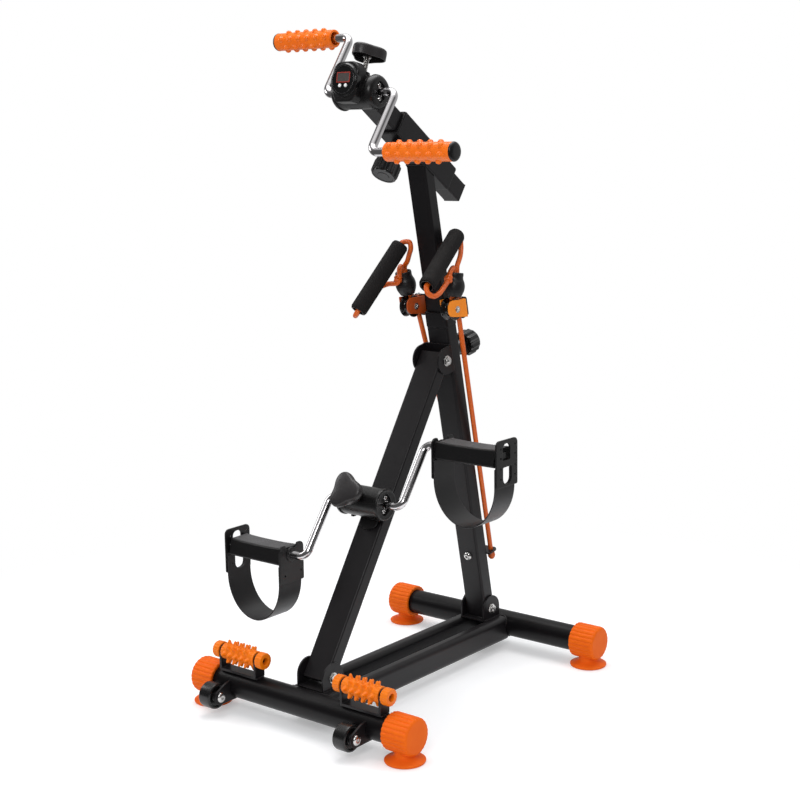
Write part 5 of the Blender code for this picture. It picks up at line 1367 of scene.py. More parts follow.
def plate_outline(top, dip=False):
    points = [(-0.026, -0.045), (0.028, -0.045), (0.028, top)]
    radii = [0.003, 0.003, 0.008]
    if dip:
        points += [(0.014, top), (0.01, top - 0.0075), (-0.009, top - 0.0075), (-0.013, top)]
        radii += [0.003, 0.004, 0.004, 0.003]
    return rounded(points + [(-0.026, top)], radii + [0.008], steps=6)


def small_holes(spots):
    return [circle_loop(0.0014, y, z) for y, z in spots]


def tread_section(x):
    """The tread's outline at one place along it: its top sags in the middle."""
    sag = 0.0018 * (1 - min(1.0, abs(x) / 0.055) ** 2.4)
    points = [(-0.0235, -0.015), (0.0235, -0.015), (0.0195, 0.012 - sag), (-0.0195, 0.012 - sag)]
    return [Vector((x, y, z)) for y, z in rounded(points, 0.003, steps=4)]


def solids(loops, depth, spot):
    """One solid for each sideways loop."""
    shape = bmesh.new()
    for loop in loops:
        add(shape, slab([loop], depth, 0.0, SIDEWAYS, spot))
    return shape


def on_rib(x):
    """Whether a place along the tread is on one of its cross ribs."""
    return (x / RIB_PITCH) % 1.0 < RIB_SHARE


# %% Build the pedals
FRONT_HOLES = [(-0.0148, z) for z in (0.013, -0.001, -0.0167, -0.032)]
REAR_HOLES = [(0.0212, z) for z in (0.016, 0.002, -0.0153, -0.0295)]
STRAP_REACH, STRAP_WALL = 0.0567, 0.002
STRAP_TOP, STRAP_BEND, STRAP_DROP = -0.0165, -0.045, 0.067
for side_word, side in SIDES:
    hub = at(FOOT_CRANK @ Vector((side * PEDAL_X, 0, side * FOOT_THROW)))
    body = f"pedal_{side_word}"
    window = rounded(
        [(-0.0098, -0.0052), (0.0088, -0.0052), (0.0088, 0.0205), (-0.0098, 0.019)],
        [0.002, 0.002, 0.008, 0.008], steps=8,
    )
    outer = [plate_outline(0.0255), slot_loop(), window] + small_holes(FRONT_HOLES + REAR_HOLES)
    inner = [plate_outline(0.0165, True)] + small_holes([FRONT_HOLES[-1], REAR_HOLES[-1]])
    pedal = slab(outer, PLATE, 0.0006, SIDEWAYS, (side * PLATE_X, 0, 0))
    add(pedal, slab(inner, PLATE, 0.0006, SIDEWAYS, (-side * PLATE_X, 0, 0)))
    stations = [-0.0575 + 0.115 * index / 24 for index in range(25)]
    add(pedal, loft([tread_section(side * x) for x in stations if x < 0.052] + [tread_section(side * 0.052)]))
    hook = rounded([(-0.006, -0.004), (0.004, -0.004), (0.004, 0.006), (-0.006, 0.004)], 0.0015, steps=2)
    add(pedal, slab([hook], 0.004, 0.0006, SIDEWAYS, (side * 0.054, 0, 0)))
    collar = [(0.0066, -0.004), (0.0115, -0.004), (0.0115, 0.0032), (0.0066, 0.0032)]
    collar = lathe(soft_profile(collar, [0, 0.0012, 0.0012, 0]), 48, closed=True)
    add(pedal, collar, along_x(-side, -side * PLATE_X))
    mount(f"{side_word}_pedal", pedal, hub, BLACK_PLASTIC, body, f"pedal_{side_word}")

    # The strip's lighter grey is partly a painted highlight for the grit's glints.
    grit = []
    for x in [-0.051 + 0.102 * index / 96 for index in range(97)]:
        rib = 0.0007 if on_rib(x) else 0.0001
        top = max(point.z for point in tread_section(x)) + rib
        points = [(-0.0165, top - 0.0016), (0.0165, top - 0.0016), (0.0162, top), (-0.0162, top)]
        grit.append([Vector((x, y, z)) for y, z in rounded(points, 0.0003, steps=2)])
    mount(f"{side_word}_tread_grit", loft(grit), hub, GRIT_BLACK, body, sharp=60)

    reach, within = STRAP_REACH, STRAP_REACH - STRAP_WALL
    outside = arc(reach, 180, 360, 48, (0.0, STRAP_BEND), STRAP_DROP / reach)
    inside = arc(within, 0, -180, 48, (0.0, STRAP_BEND), (STRAP_DROP - STRAP_WALL) / within)
    legs = [Vector((x, STRAP_TOP)) for x in (-reach, reach, within, -within)]
    loop = [legs[0], *outside, legs[1], legs[2], *inside, legs[3]]
    strap = slab([loop], 0.05, 0.0006, FRONTAL)
    see_through = [slot_loop()] + small_holes(FRONT_HOLES[1:] + REAR_HOLES[1:])
    strap = combine(strap, solids(see_through, 0.02, (side * reach, 0, 0)))
    mount(f"{side_word}_pedal_strap", strap, hub, STRAP_BLACK, body, f"pedal_strap_{side_word}", sharp=40)
print("left pedal at", [round(value, 4) for value in hub.translation])

# %% [markdown]
# ## The post
#
# The lower post is a rectangular tube. A bent bracket on its front takes the head of the strut, and a
# threaded boss on its back takes the clamp knob for the inner tube.

# %% Lower post
def threaded_boss():
    """A boss for a clamp knob's screw, standing on Z 0."""
    profile = [(0, 0.0), (0.009, 0.0), (0.009, 0.008), (0.0042, 0.008), (0.0042, 0.0065), (0, 0.0065)]
    return lathe(soft_profile(profile, [0, 0, 0.0008, 0.0004, 0, 0]), 48)


post_drop = math.sqrt((POST.translation - POST_FOOT.translation).length ** 2 - SETBACK**2)
bar = box_tube(POST_WIDTH, POST_DEPTH, 0.002, 0.004, -post_drop - 0.012, 0.0475)
add(bar, threaded_boss(), at((0, POST_DEPTH / 2, -0.001), -90))
mount("lower_post_tube", bar, POST_AXIS, BLACK_PAINT, "post", "lower_post")
front_face = SETBACK - POST_DEPTH / 2
bolt_head = dome_bolt(0.0076, 0.005, 0.0026)
mount("anchor_bolt", bolt_head, POST @ at((0, front_face, -0.3563), 90), STEEL, "post")
print("post", round(post_drop + 0.0595, 4), "m long")

# %% Hinge bracket
inner, outer = STRUT_GRIP, STRUT_GRIP + BRACKET_WALL
ends = -0.044
section = u_section(inner, outer, front_face + 0.0004, front_face - 0.0025, ends, ends, crease=0.001)
shape = slab([section], 0.066, 0.0)
cheek = arc(0.022, 90, 270, 32) + [Vector((0.0357, z)) for z in (-0.022, 0.022)]
shape = combine(shape, slab([cheek], 0.08, 0.0, SIDEWAYS), "INTERSECT")
round_edges(shape, 0.0005)
for side in (-1, 1):
    run = [(side * POST_WIDTH / 2, front_face + 0.0006, z) for z in (-0.021, 0.021)]
    add(shape, weld_bead(run, 0.0014))
mount("hinge_cheeks", shape, POST, BLACK_PAINT, "post")


# %% [markdown]
# ## Clamp knobs
#
# One fluted knob clamps the inner post tube, another the arm. The flutes are square-cut, so the groove
# function is raised to a low power, and the face has a chamfer and a shallow ring.

# %% Clamp knobs
CLAMP_FLUTES = 14
SLEEVE_BOSS = at((0, -0.0487, -0.02), 180)


def clamp_knob(name, place, body, tip):
    """A fluted knob whose Z runs out from the tube's face. The tip is how far its screw goes in."""
    dips = fluted(CLAMP_FLUTES, 0.0021, 0.75)
    low, high = 0.0335, 0.0575
    stations = [
        (0.011, low, 0.0), (0.0185, low, 0.3), (0.0203, low + 0.0012, 1.0),
        (0.021, low + 0.003, 1.0), (0.021, high - 0.0038, 1.0), (0.0203, high - 0.002, 0.6),
        (0.0188, high - 0.0004, 0.0), (0.0176, high, 0.0), (0.016, high, 0.0),
        (0.0154, high - 0.0007, 0.0), (0.0095, high - 0.0007, 0.0), (0.0088, high - 0.0001, 0.0),
    ]
    neck = [(0.0, 0.0083), (0.0096, 0.0083), (0.01, 0.009), (0.0106, 0.016), (0.0118, 0.027)]
    rings = [ring(radius, z, 168) for radius, z in neck]
    rings += [ring(dips(radius, share), z, 168) for radius, z, share in stations]
    mount(name, loft([*rings, ring(0.0, high - 0.0001)]), place, CLAMP_PLASTIC, body, body)
    screw = [(0.0, -tip), (0.0034, -tip), (0.004, -tip + 0.0006)]
    for index in range(11):
        z = -tip + 0.001 + index * 0.0008
        screw += [(0.0035, z), (0.004, z + 0.0004)]
    mount(f"{name}_screw", lathe(screw + [(0.0, 0.009)], 32), place, STEEL, body)


post_boss = POST @ at((0, SETBACK + POST_DEPTH / 2, -0.001), -90)
clamp_knob("post_clamp_knob", post_boss, "post_lock_knob", 0.0028)
clamp_knob("sleeve_clamp_knob", SLEEVE @ SLEEVE_BOSS, "sleeve_lock_knob", 0.004)
print("2 clamp knobs with", CLAMP_FLUTES, "flutes")

# %% [markdown]
# ## Anchor, collar and ears
#
# The pull bands are knotted under a small plate low on the back of the post. At the post's top is a collar
# with an ear on each side, and each ear carries a pulley in an orange bracket.

# %% Band anchor
rear = SETBACK + POST_DEPTH / 2 + 0.0003
ANCHOR_Z = -0.361
ANCHOR_REACH = 0.0155
BAND_X = 0.016
corners = [(-0.025, rear), (0.025, rear), (0.025, rear + 0.0245), (-0.025, rear + 0.0245)]
anchor_loop = rounded(corners, [0, 0, 0.008, 0.008])
holes = [circle_loop(0.0046, side * BAND_X, rear + ANCHOR_REACH, 28) for side in (-1, 1)]
shape = slab([anchor_loop] + holes, 0.003, 0.0005, spot=(0, 0, ANCHOR_Z))
add(shape, box((-0.015, rear, ANCHOR_Z), (0.015, rear + 0.003, ANCHOR_Z + 0.022), 0.0007))
run = [(x, rear + 0.002, ANCHOR_Z + 0.0222) for x in (-0.015, 0.015)]
add(shape, weld_bead(run, 0.0012))
mount("band_anchor_plate", shape, POST, BLACK_PAINT, "post", "band_anchor")

# %% Collar and ears
COLLAR_LOW, COLLAR_HIGH = 0.0478, 0.0728
loops = tube_loops((0.0424, 0.0287, 0.0046), (0.037, 0.0215, 0.0022))
collar = slab(loops, COLLAR_HIGH - COLLAR_LOW, 0.001, spot=(0, SETBACK, (COLLAR_LOW + COLLAR_HIGH) / 2))
for side in (-1, 1):
    loop = [
        (0.0195, COLLAR_HIGH - 0.01), (0.041, COLLAR_HIGH - 0.013), (0.0515, COLLAR_HIGH - 0.006),
        (0.0515, 0.096), (0.0285, 0.096), (0.021, COLLAR_HIGH), (0.0195, COLLAR_HIGH - 0.001),
    ]
    loop = rounded([(side * x, z) for x, z in loop], [0, 0.006, 0.004, 0.003, 0.004, 0.002, 0], steps=4)
    add(collar, slab([loop], 0.003, 0.0005, FRONTAL, (0, SETBACK + 0.0068, 0)))
mount("pulley_collar", collar, POST, BLACK_PAINT, "post", "pulley_yoke")
print("collar", round(COLLAR_HIGH - COLLAR_LOW, 4), "m high")

# %% [markdown]
# ## Pulleys
#
# Each pulley turns on a bolt in an orange bracket with a long cheek on its right and a short one on its
# left. Its back leans with the post, but its edges are level, so a level outline trims it from the side.
# The groove is deep and round, to the cord's size.

# %% Pulleys and their brackets
PULLEY_SPOT = (0.041, 0.0104, 0.084)
GROOVE_FLOOR, GROOVE_ROUND = 0.0115, 0.0046
groove = []
for angle in (math.radians(degrees) for degrees in range(-78, 79, 13)):
    depth = GROOVE_FLOOR + GROOVE_ROUND * (1 - math.cos(angle))
    groove.append((depth, GROOVE_ROUND * math.sin(angle)))
pulley_side = [
    (0.0168, 0.0064), (0.0175, 0.0072), (0.0175, 0.0082), (0.0168, 0.009), (0.0132, 0.009),
    (0.0125, 0.008), (0.0078, 0.008), (0.007, 0.009), (0.0034, 0.0088),
]
PULLEY_PROFILE = [(r, -z) for r, z in reversed(pulley_side)] + groove + pulley_side
for side_word, side in SIDES:
    axle = POST @ at(on_side(side, PULLEY_SPOT))
    mount(
        f"{side_word}_grooved_pulley", lathe(PULLEY_PROFILE, 64, closed=True), axle @ along_x(),
        GLOSS_BLACK, f"pulley_{side_word}", f"pulley_{side_word}",
    )
    inner, outer = 0.01, 0.012
    back_y, front_y, short_y = 0.0261, -0.0225, -0.0115
    section = u_section(inner, outer, back_y, back_y - 0.002, front_y, short_y, 0.0028, 0.0009)
    bracket = slab([section], 0.058, 0.0)
    corners = [(0.052, -0.0165), (0.052, 0.015), (front_y, 0.015), (front_y, -0.01)]
    trim = slab([rounded(corners, [0, 0, 0.0115, 0.0115], steps=12)], 0.04, 0.0, SIDEWAYS)
    trim.transform(Matrix.Rotation(math.radians(-POST_LEAN), 4, "X"))
    bracket = round_edges(combine(bracket, trim, "INTERSECT"), 0.0005)
    # The left bracket takes the darker copy of the orange: painted shade.
    paint = BRACKET_ORANGE if side > 0 else BRACKET_SHADED_ORANGE
    mount(f"{side_word}_pulley_hanger", bracket, axle, paint, "post", f"pulley_bracket_{side_word}")
    pin = cylinder(0.003, -0.0125, 0.0125)
    pin.transform(along_x())
    for end in (-1, 1):
        add(pin, hex_nut(0.0046, 0.0022, 0.0054), along_x(end, end * 0.0119))
    add(pin, hex_nut(0.004, 0.0034), at((0.002, 0.0225, 0.0102)))
    mount(f"{side_word}_pulley_pin", pin, axle, STEEL, "post")
print("pulley groove of", len(groove), "points")

# %% [markdown]
# ## Pull bands, stoppers, handles and loops
#
# A rubber band runs from a knot under the anchor up the back of the post, over the pulley and into a
# bell-shaped stopper. A loop of the same cord comes out of the stopper's top and carries a foam handle.
# The band runs from the post at one end to the stopper at the other. It is built in place along its
# rest route and rides on neither body. The routes are the CAD's, run through a finer curve.

# %% Routes
PULLS = {
    "right": {
        "side": 1, "stopper": Vector((0.004, 0.001, 0.019)),
        "upward": Vector((0.0, 0.12, 1.0)).normalized(),
        "handle": (Vector((0.017, -0.084, 0.0437)), Vector((-0.006, 0.024, 0.1142))),
        "up": [
            (0.003, 0.013, 0.069), (0.0, 0.024, 0.081), (-0.006, 0.0345, 0.093),
            (-0.0087, 0.0375, 0.1012), (-0.0093, 0.0394, 0.1125),
        ],
        "down": [
            (0.0225, -0.0885, 0.034), (0.0255, -0.079, 0.0285), (0.0245, -0.064, 0.031),
            (0.019, -0.043, 0.0396), (0.0125, -0.0245, 0.048), (0.0078, -0.012, 0.0598),
        ],
        "knot": (Vector((0.0122, -0.0235, 0.049)), Vector((-0.26, 0.7, 0.66))),
    },
    "left": {
        "side": -1, "stopper": Vector((-0.004, -0.001, 0.019)),
        "upward": Vector((-0.06, -0.25, 1.0)).normalized(),
        "handle": (Vector((-0.019, -0.107, 0.0012)), Vector((0.006, -0.03, 0.0997))),
        "up": [
            (0.002, -0.009, 0.072), (0.011, -0.015, 0.084), (0.0185, -0.0205, 0.094),
            (0.0155, -0.0205, 0.1035),
        ],
        "down": [
            (-0.0208, -0.1083, -0.0024), (-0.0238, -0.1067, -0.0049), (-0.0292, -0.1015, -0.0076),
            (-0.0318, -0.095, -0.0056), (-0.0263, -0.0793, 0.015), (-0.0235, -0.056, 0.03),
            (-0.019, -0.035, 0.0365), (0.0, -0.033, 0.0395), (0.0, -0.0275, 0.0495),
            (-0.0035, -0.0225, 0.06),
        ],
        "knot": (Vector((-0.0005, -0.03, 0.045)), Vector((0.05, 0.45, 0.89))),
    },
}
CORD_RADIUS = 0.004
KNOT = (
    (0.0175, 0.35), (0.016, 0.95), (0.0135, 1.35), (0.0115, 1.55), (0.0095, 1.62), (0.0075, 1.42),
    (0.006, 1.5), (0.0042, 1.45), (0.003, 1.2), (0.0022, 1.0),
)
PULL_WRAP = 75.0


def pull_spot(facts):
    """The pull's own upright place, at its pulley's axle."""
    return at(POST @ on_side(facts["side"], PULLEY_SPOT))


def upright_on(axis):
    return axis.to_track_quat("Z", "Y").to_matrix().to_4x4()


# %% Bands
for word, facts in PULLS.items():
    side = facts["side"]
    place = pull_spot(facts)
    hole = Vector((side * BAND_X, rear + ANCHOR_REACH, ANCHOR_Z))
    wrap_radius = GROOVE_FLOOR + CORD_RADIUS + 0.0006
    axle = on_side(side, PULLEY_SPOT)
    straight = axle + Vector((0.0, wrap_radius, -CORD_RADIUS))
    above = hole + Vector((0.0, 0.0, 0.003))
    route = [hole + Vector((0, 0, -drop)) for drop, swell in KNOT]
    sizes = [swell for drop, swell in KNOT]
    route += [above.lerp(straight, step / 40) for step in range(41)]
    for step in range(15):
        angle = math.radians(PULL_WRAP) * step / 14
        route.append(axle + Vector((0.0, wrap_radius * math.cos(angle), wrap_radius * math.sin(angle))))
    route = [POST @ point for point in route]
    mouth, socket = (place @ (facts["stopper"] + facts["upward"] * rise) for rise in (0.01, 0.0217))
    end = route[-1]
    route += [end.lerp(mouth, step / 5) for step in range(1, 5)] + [mouth, mouth.lerp(socket, 0.5), socket]
    sizes += [1.0] * (len(route) - len(sizes))
    band = mount(
        f"{word}_pull_band", sweep(route, CORD_RADIUS, 24, sizes), UPRIGHT, CORD_ORANGE, None,
        f"band_{word}", sharp=60,
    )
    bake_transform(band)
    print(word, "band", round(sum((b - a).length for a, b in zip(route, route[1:])), 3), "m")

# %% Stoppers
STOPPER = soft_profile(
    [
        (0.0, 0.0315), (0.0088, 0.0315), (0.01, 0.0352), (0.0112, 0.038), (0.013, 0.038),
        (0.0133, 0.0345), (0.0129, 0.03), (0.0138, 0.0268), (0.0154, 0.0232), (0.0164, 0.019),
        (0.0165, 0.015), (0.0159, 0.0108), (0.0146, 0.0068), (0.0128, 0.0028), (0.0113, 0.0),
        (0.0098, 0.0), (0.0043, 0.0125), (0.0043, 0.022), (0.0, 0.022),
    ],
    [
        0, 0.0015, 0.001, 0.0009, 0.0014, 0.002, 0.003, 0.003, 0.004, 0.004, 0.004, 0.004, 0.004, 0.002,
        0.0006, 0.0005, 0.001, 0, 0,
    ],
)
for word, facts in PULLS.items():
    mount(
        f"{word}_bulb_stopper", lathe(STOPPER, 72),
        pull_spot(facts) @ at(facts["stopper"]) @ upright_on(facts["upward"]), STOPPER_RUBBER,
        f"pull_{word}", f"stopper_{word}",
    )

# %% Foam handles
HANDLE_RADIUS = 0.0135
for word, facts in PULLS.items():
    low, high = facts["handle"]
    axis = (high - low).normalized()
    half = (high - low).length / 2
    place = pull_spot(facts) @ Matrix.Translation((low + high) / 2) @ upright_on(axis)
    profile = [(0.0108, -half + 0.006), (0.0108, -half + 0.0004), (0.0116, -half)]
    for index in range(41):
        share = -1 + 2 * index / 40
        inset = max(0.0, abs(share) * half - (half - 0.0016)) / 0.0016
        corner = (1 - math.sqrt(max(0.0, 1 - inset * inset))) * 0.0014
        profile.append((HANDLE_RADIUS - corner, share * (half - 0.00005)))
    profile += [(0.0116, half), (0.0108, half - 0.0004), (0.0108, half - 0.006)]
    handle = mount(
        f"{word}_foam_handle", lathe(profile, 56, closed=True), place, FOAM, f"pull_{word}",
        f"handle_{word}", sharp=50,
    )
    liner = soft_profile([
        (0.0048, -half + 0.014), (0.0086, -half + 0.012), (0.009, -half - 0.0006), (0.0107, -half - 0.0006),
        (0.0107, half + 0.0006), (0.009, half + 0.0006), (0.0086, half - 0.012), (0.0048, half - 0.014),
    ], [0, 0.002, 0.0006, 0.0006, 0.0006, 0.0006, 0.002, 0])
    mount(f"{word}_handle_liner", lathe(liner, 48, closed=True), place, LINER_BLACK, f"pull_{word}")
print("handles", round(2 * half, 4), "m long")

# %% Loops
for word, facts in PULLS.items():
    upward = facts["upward"]
    top = facts["stopper"] + upward * 0.038
    low, high = facts["handle"]
    axis = (high - low).normalized()
    ends = [top + Vector((0, gap, 0.0078)) for gap in (0.0047, -0.0047)]
    roots = [top + Vector((0, gap, 0.0)) - upward * 0.0035 for gap in (0.0045, -0.0045)]
    first = spline([roots[0], ends[0], *facts["up"], high + axis * 0.004, high - axis * 0.006], 10)
    inside = [high.lerp(low, step / 8) for step in range(1, 8)]
    last = spline([low + axis * 0.006, low - axis * 0.0015, *facts["down"], ends[1], roots[1]], 10)
    route = first + inside + last
    cord = sweep(route, CORD_RADIUS, 24)
    centre, turn_axis = facts["knot"]
    facing = upright_on(turn_axis)
    coil = []
    for step in range(43):
        angle = math.tau * (step / 28 + 0.1)
        around = facing @ Vector(
            (0.0042 * math.cos(angle), 0.0042 * math.sin(angle), (step / 42 - 0.5) * 0.008),
        )
        coil.append(centre + around)
    swell = [min(1.0, 0.5 + min(step, 42 - step) / 8) for step in range(43)]
    add(cord, sweep(coil, 0.0028, 20, swell))
    mount(
        f"{word}_cord_loop", cord, pull_spot(facts), CORD_ORANGE, f"pull_{word}", f"pull_loop_{word}",
        sharp=60,
    )
    print(word, "loop", round(sum((b - a).length for a, b in zip(route, route[1:])), 3), "m")

# %% [markdown]
# ## The inner post and its sleeve
#
# The inner tube slides in the post. Across its top a square sleeve is welded at the arm's slope. The
# tube is cut off where it meets the sleeve, so the sleeve's bore stays open for the arm.

# %% Inner post
SLEEVE_UP = 0.3289
SLEEVE_HALF = 0.02
INNER_WIDTH, INNER_DEPTH, INNER_CORNER = 0.0364, 0.0209, 0.0022
bar = box_tube(INNER_WIDTH, INNER_DEPTH, 0.0016, INNER_CORNER, -0.1, SLEEVE_UP)
bar.transform(POST_AXIS)
block = box((-0.0195, -0.12, -0.0195), (0.0195, 0.12, 0.06), 0.0)
block.transform(SLEEVE)
bar = combine(bar, block)
mount("inner_post_tube", bar, UPRIGHT, BLACK_PAINT, "upper_post", "upper_post")
outline = rounded(rectangle(INNER_WIDTH, INNER_DEPTH), INNER_CORNER, steps=3)
up_post = POST_AXIS.to_3x3() @ Vector((0, 0, 1))
floor_normal = SLEEVE.to_3x3() @ Vector((0, 0, 1))
floor_point = SLEEVE @ Vector((0, 0, -SLEEVE_HALF))
seam = []
for x, y in outline:
    start = POST_AXIS @ Vector((x, y, 0.2))
    seam.append(start + up_post * ((floor_point - start).dot(floor_normal) / up_post.dot(floor_normal)))
mount("sleeve_weld", weld_bead(seam, 0.0016, closed=True), UPRIGHT, BLACK_PAINT, "upper_post", sharp=60)

# %% Sleeve
SLEEVE_LENGTH = 0.15
SLEEVE_BORE = (0.0306, 0.0316, 0.0024)
shape = slab(tube_loops((0.04, 0.04, 0.0028), SLEEVE_BORE), SLEEVE_LENGTH, 0.0005, FRONTAL)
add(shape, threaded_boss(), SLEEVE_BOSS)
mount("arm_sleeve", shape, SLEEVE, BLACK_PAINT, "upper_post")
bush = bmesh.new()
for end in (-1, 1):
    lip = tube_loops((0.0386, 0.0386, 0.0026), SLEEVE_BORE)
    add(bush, slab(lip, 0.0022, 0.0006, FRONTAL, (0, end * (SLEEVE_LENGTH / 2 + 0.0008), 0)))
mount("sleeve_bushes", bush, SLEEVE, BLACK_PLASTIC, "upper_post")
print("sleeve", SLEEVE_LENGTH, "m long")

# %% [markdown]
# ## The arm
#
# The arm slides through the sleeve. Its rear end is closed by a square plug.

# %% Arm
ARM_LENGTH = 0.25
loops = tube_loops((0.03, 0.031, 0.003), (0.0268, 0.0278, 0.0015))
shape = slab(loops, ARM_LENGTH, 0.0003, FRONTAL, (0, -0.0102, 0))
mount("arm_tube", shape, SLEEVE, BLACK_PAINT, "arm", "arm")
plug = box((-0.015, 0.114, -0.0155), (0.015, 0.1166, 0.0155), 0.0011)
mount("arm_plug", plug, SLEEVE, BLACK_PLASTIC, "arm")
print("arm", ARM_LENGTH, "m long")

# %% [markdown]
# ## The upper barrel
#
# The hand crank turns in a barrel on the arm's front end. Its end caps are domed, with the same lens
# pockets as below, and a shoulder on top takes the knob's screw. A moulded neck joins it to the arm.

# %% Upper barrel
HAND_END = [
    (0.0165, 0.0394), (0.0195, 0.0388), (0.0222, 0.0374), (0.0242, 0.035), (0.0254, 0.0322),
    (0.0258, 0.0302), (0.0252, 0.0294),
]
barrel = cylinder(0.024, -0.03, 0.03, 72)
barrel.transform(along_x())
slot_cut = box((-0.012, -0.01, -0.026), (0.012, -0.0075, -0.0215), 0.0006)
slot_cut.transform(Matrix.Rotation(math.radians(ARM_LEAN), 4, "X"))
barrel = combine(barrel, slot_cut)
for side in (1, -1):
    end = barrel_end(HAND_END, 0.0036, (0.0122, 0.0158), 0.028)
    end.transform(Matrix.Rotation(math.radians(90), 4, "Z"))
    add(barrel, end, Matrix.Rotation(math.radians(ARM_LEAN), 4, "X") @ along_x(side))
add(barrel, box((-0.019, 0.01, 0.0065 - 0.019), (0.019, 0.0242, 0.0065 + 0.019), 0.003, 4))
add(barrel, box((-0.013, 0.022, 0.0065 - 0.0135), (0.013, 0.0382, 0.0065 + 0.0135), 0.002))
mount("hand_barrel", barrel, HAND, BLACK_PLASTIC, "arm", "upper_housing")
shoulder = soft_profile(
    [
        (0.0, 0.014), (0.015, 0.014), (0.015, 0.0205), (0.012, 0.0262), (0.0092, 0.0285),
        (0.0088, 0.031), (0.0036, 0.031), (0.0, 0.031),
    ],
    [0, 0, 0.002, 0.003, 0.002, 0.0008, 0, 0],
)
mount("knob_shoulder", lathe(shoulder, 56), HAND_KNOB, BLACK_PLASTIC, "arm")
mount("hand_pocket_bolts", pocket_bolts(0.01, 0.0352), at(HAND.translation), STEEL, "arm")
print("upper barrel with", len(HAND_END), "round stations")

# %% [markdown]
# ## The display
#
# The display is a black case on the front of the barrel, narrower below. A round glossy boss stands on
# its face, with a ring round its foot and one round its top. In it are a small blank screen with a red
# frame and two white buttons. Nothing is written on it. Each button sits in its own hole and moves by
# a millimetre, so it rides on its own body.

# %% Display case
FACE = 0.04
CASE_FACE = 0.0372
BOSS_Z = 0.0115
BUTTON_X, BUTTON_Z = 0.0055, 0.0033
corners = [
    (-0.015, -0.02), (0.015, -0.02), (0.021, -0.011), (0.0268, 0.039), (-0.0268, 0.039),
    (-0.021, -0.011),
]
radii = [0.005, 0.005, 0.01, 0.016, 0.016, 0.01]
case_rings = []
for depth, inset in ((0.0172, 0.0), (0.0032, 0.0), (0.0014, 0.0005), (0.0004, 0.0014), (0.0, 0.0028)):
    scale = 1 - inset / 0.025
    loop = rounded([(x * scale, 0.0095 + (z - 0.0095) * scale) for x, z in corners], radii, steps=8)
    case_rings.append([Vector((x, depth - CASE_FACE, z)) for x, z in loop])
case = loft(case_rings)
boss = lathe(soft_profile(
    [(0.0, 0.03), (0.0248, 0.03), (0.0248, CASE_FACE + 0.0004), (0.0222, FACE), (0.0, FACE)],
    [0, 0, 0.0004, 0.0014, 0], steps=4,
), 96)
boss.transform(at((0, 0, BOSS_Z), 90))
for x in (-BUTTON_X, BUTTON_X):
    hole = cylinder(0.003, -0.01, 0.01)
    hole.transform(at((x, -FACE, BUTTON_Z), 90))
    boss = combine(boss, hole)
mount("display_body", case, DISPLAY, BLACK_PLASTIC, "arm", "display_case", sharp=30)
mount("display_boss", boss, DISPLAY, GLOSS_BLACK, "arm", sharp=40)


def flat_ring(*radii):
    return [circle_loop(radius, 0, BOSS_Z, 96) for radius in radii]


bezel = slab(flat_ring(0.0252, 0.024), 0.0012, 0.0005, FRONTAL, (0, -CASE_FACE - 0.0003, 0))
add(bezel, slab(flat_ring(0.0205, 0.0195), 0.001, 0.0004, FRONTAL, (0, -FACE - 0.0001, 0)))
mount("display_rings", bezel, DISPLAY, CLAMP_PLASTIC, "arm")
frame_loop = rounded(rectangle(0.0252, 0.0152, (0.0, 0.015)), 0.0012)
hole_loop = rounded(rectangle(0.0222, 0.0122, (0.0, 0.015)), 0.0008)
red_frame = slab([frame_loop, hole_loop], 0.0008, 0.0002, FRONTAL, (0, -FACE - 0.0001, 0))
mount("screen_frame", red_frame, DISPLAY, SCREEN_RED, "arm")
glass = slab([hole_loop], 0.0006, 0.0002, FRONTAL, (0, -FACE, 0))
mount("screen_glass", glass, DISPLAY, SCREEN_GREY, "arm")
# A thin strip of lighter satin black along the case's lower edge, with light edges: a painted highlight line.
corners = [(-0.0135, -0.0196), (0.0135, -0.0196), (0.0142, -0.0184), (-0.0142, -0.0184)]
chin = slab([rounded(corners, 0.0004)], 0.0012, 0.0003, FRONTAL, (0, -CASE_FACE + 0.003, 0))
mount("display_chin_highlight_strip", chin, DISPLAY, STRAP_BLACK, "arm")

# %% Buttons
for side_word, side in SIDES:
    profile = [
        (0.0, -0.0033), (0.0026, -0.0033), (0.0027, -0.003), (0.0027, 0.0003), (0.0025, 0.0008),
        (0.0017, 0.0012), (0.0, 0.0013),
    ]
    mount(
        f"{side_word}_push_button", lathe(profile, 32),
        DISPLAY @ at((side * BUTTON_X, -FACE, BUTTON_Z), 90), WHITE_PLASTIC, f"button_{side_word}",
        f"button_{side_word}",
    )
print("2 buttons")

# %% [markdown]
# ## Grips
#
# Each grip is a soft orange sleeve that spins on the crank, open at its inner end, with rows of round
# studs and a shallow black domed cap. A stud is a low dome with a fillet at its foot, lathed and then
# copied round.

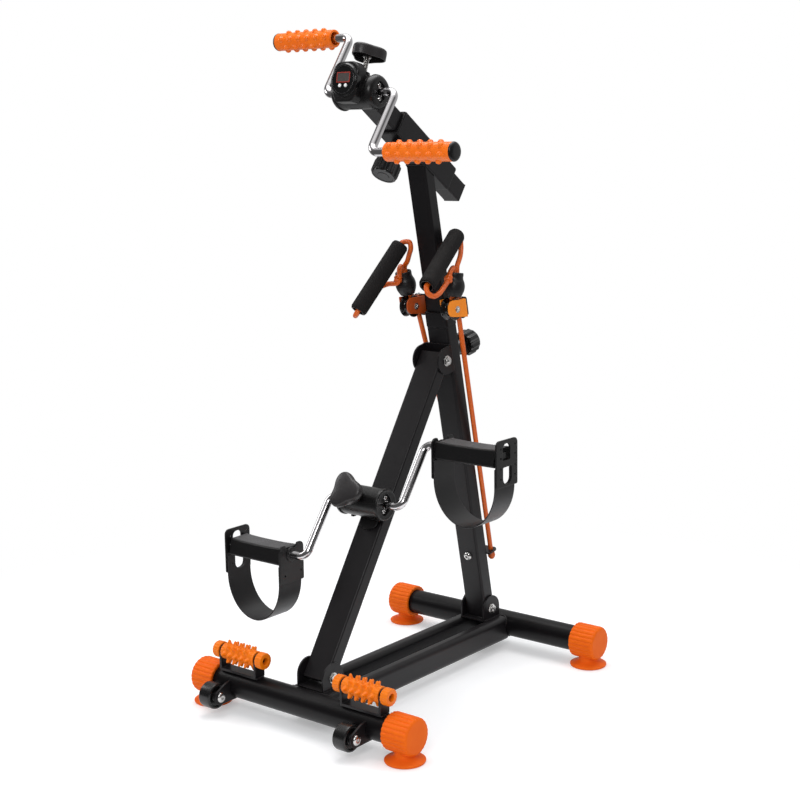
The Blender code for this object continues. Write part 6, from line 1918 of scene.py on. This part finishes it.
# %% Grip shapes
GRIP_INNER = 0.099
GRIP_LENGTH = 0.1215
SLEEVE_END = 0.1155
STUD = [
    (0.0, 0.0128), (0.0052, 0.0131), (0.0046, 0.0137), (0.0041, 0.0147), (0.0036, 0.0157),
    (0.0028, 0.0165), (0.0016, 0.017), (0.0, 0.0171),
]
STUD_PITCH = 0.0182
ROW_STARTS = {
    "right": ((43, 0), (-17, 0), (103, 1), (-77, 1), (163, 0), (-137, 0)),
    "left": ((13, 0), (73, 1), (-47, 1), (133, 0), (193, 1), (253, 0)),
}
for side_word, side in SIDES:
    hub = at(HAND_CRANK @ Vector((side * GRIP_INNER, 0.0, side * HAND_THROW)))
    body = f"grip_{side_word}"
    profile = soft_profile(
        [
            (0.01, 0.0), (0.0135, 0.0), (0.0135, SLEEVE_END), (0.007, SLEEVE_END), (0.007, 0.013),
            (0.01, 0.013),
        ],
        [0, 0.0012, 0.0004, 0, 0, 0],
    )
    sleeve = lathe(profile, 64, closed=True)
    sleeve.transform(along_x(side))
    for angle, shift in ROW_STARTS[side_word]:
        lean = math.radians(angle)
        outward = Vector((0.0, -math.cos(lean), math.sin(lean)))
        turn = outward.to_track_quat("Z", "X").to_matrix().to_4x4()
        for index in range(6):
            x = 0.01 + index * STUD_PITCH + shift * STUD_PITCH / 2
            if x <= SLEEVE_END - 0.006:
                add(sleeve, lathe(STUD, 20), Matrix.Translation((side * x, 0, 0)) @ turn)
    mount(f"{side_word}_studded_grip", sleeve, hub, GRIP_ORANGE, body, f"grip_{side_word}", sharp=50)
    dome = soft_profile(
        [
            (0.0, 0.1151), (0.0132, 0.1151), (0.0138, 0.116), (0.0134, 0.1176), (0.0118, 0.1195),
            (0.0082, 0.1209), (0.0, GRIP_LENGTH),
        ],
        [0, 0, 0.0006, 0.003, 0.006, 0.008, 0], steps=5,
    )
    mount(f"{side_word}_grip_cap", lathe(dome, 56), hub @ along_x(side), BLACK_PLASTIC, body, sharp=50)
print("grips", GRIP_LENGTH, "m long")

# %% [markdown]
# ## What is left of the CAD
#
# The two felt brake shoes sit inside the barrels, where only the knob's screw touches them. Their CAD
# shape is right, so they stay and only get a better material.

# %% Brake shoes
for name in ("foot_brake_shoe", "hand_brake_shoe"):
    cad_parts[name].material_slots[0].material = FELT
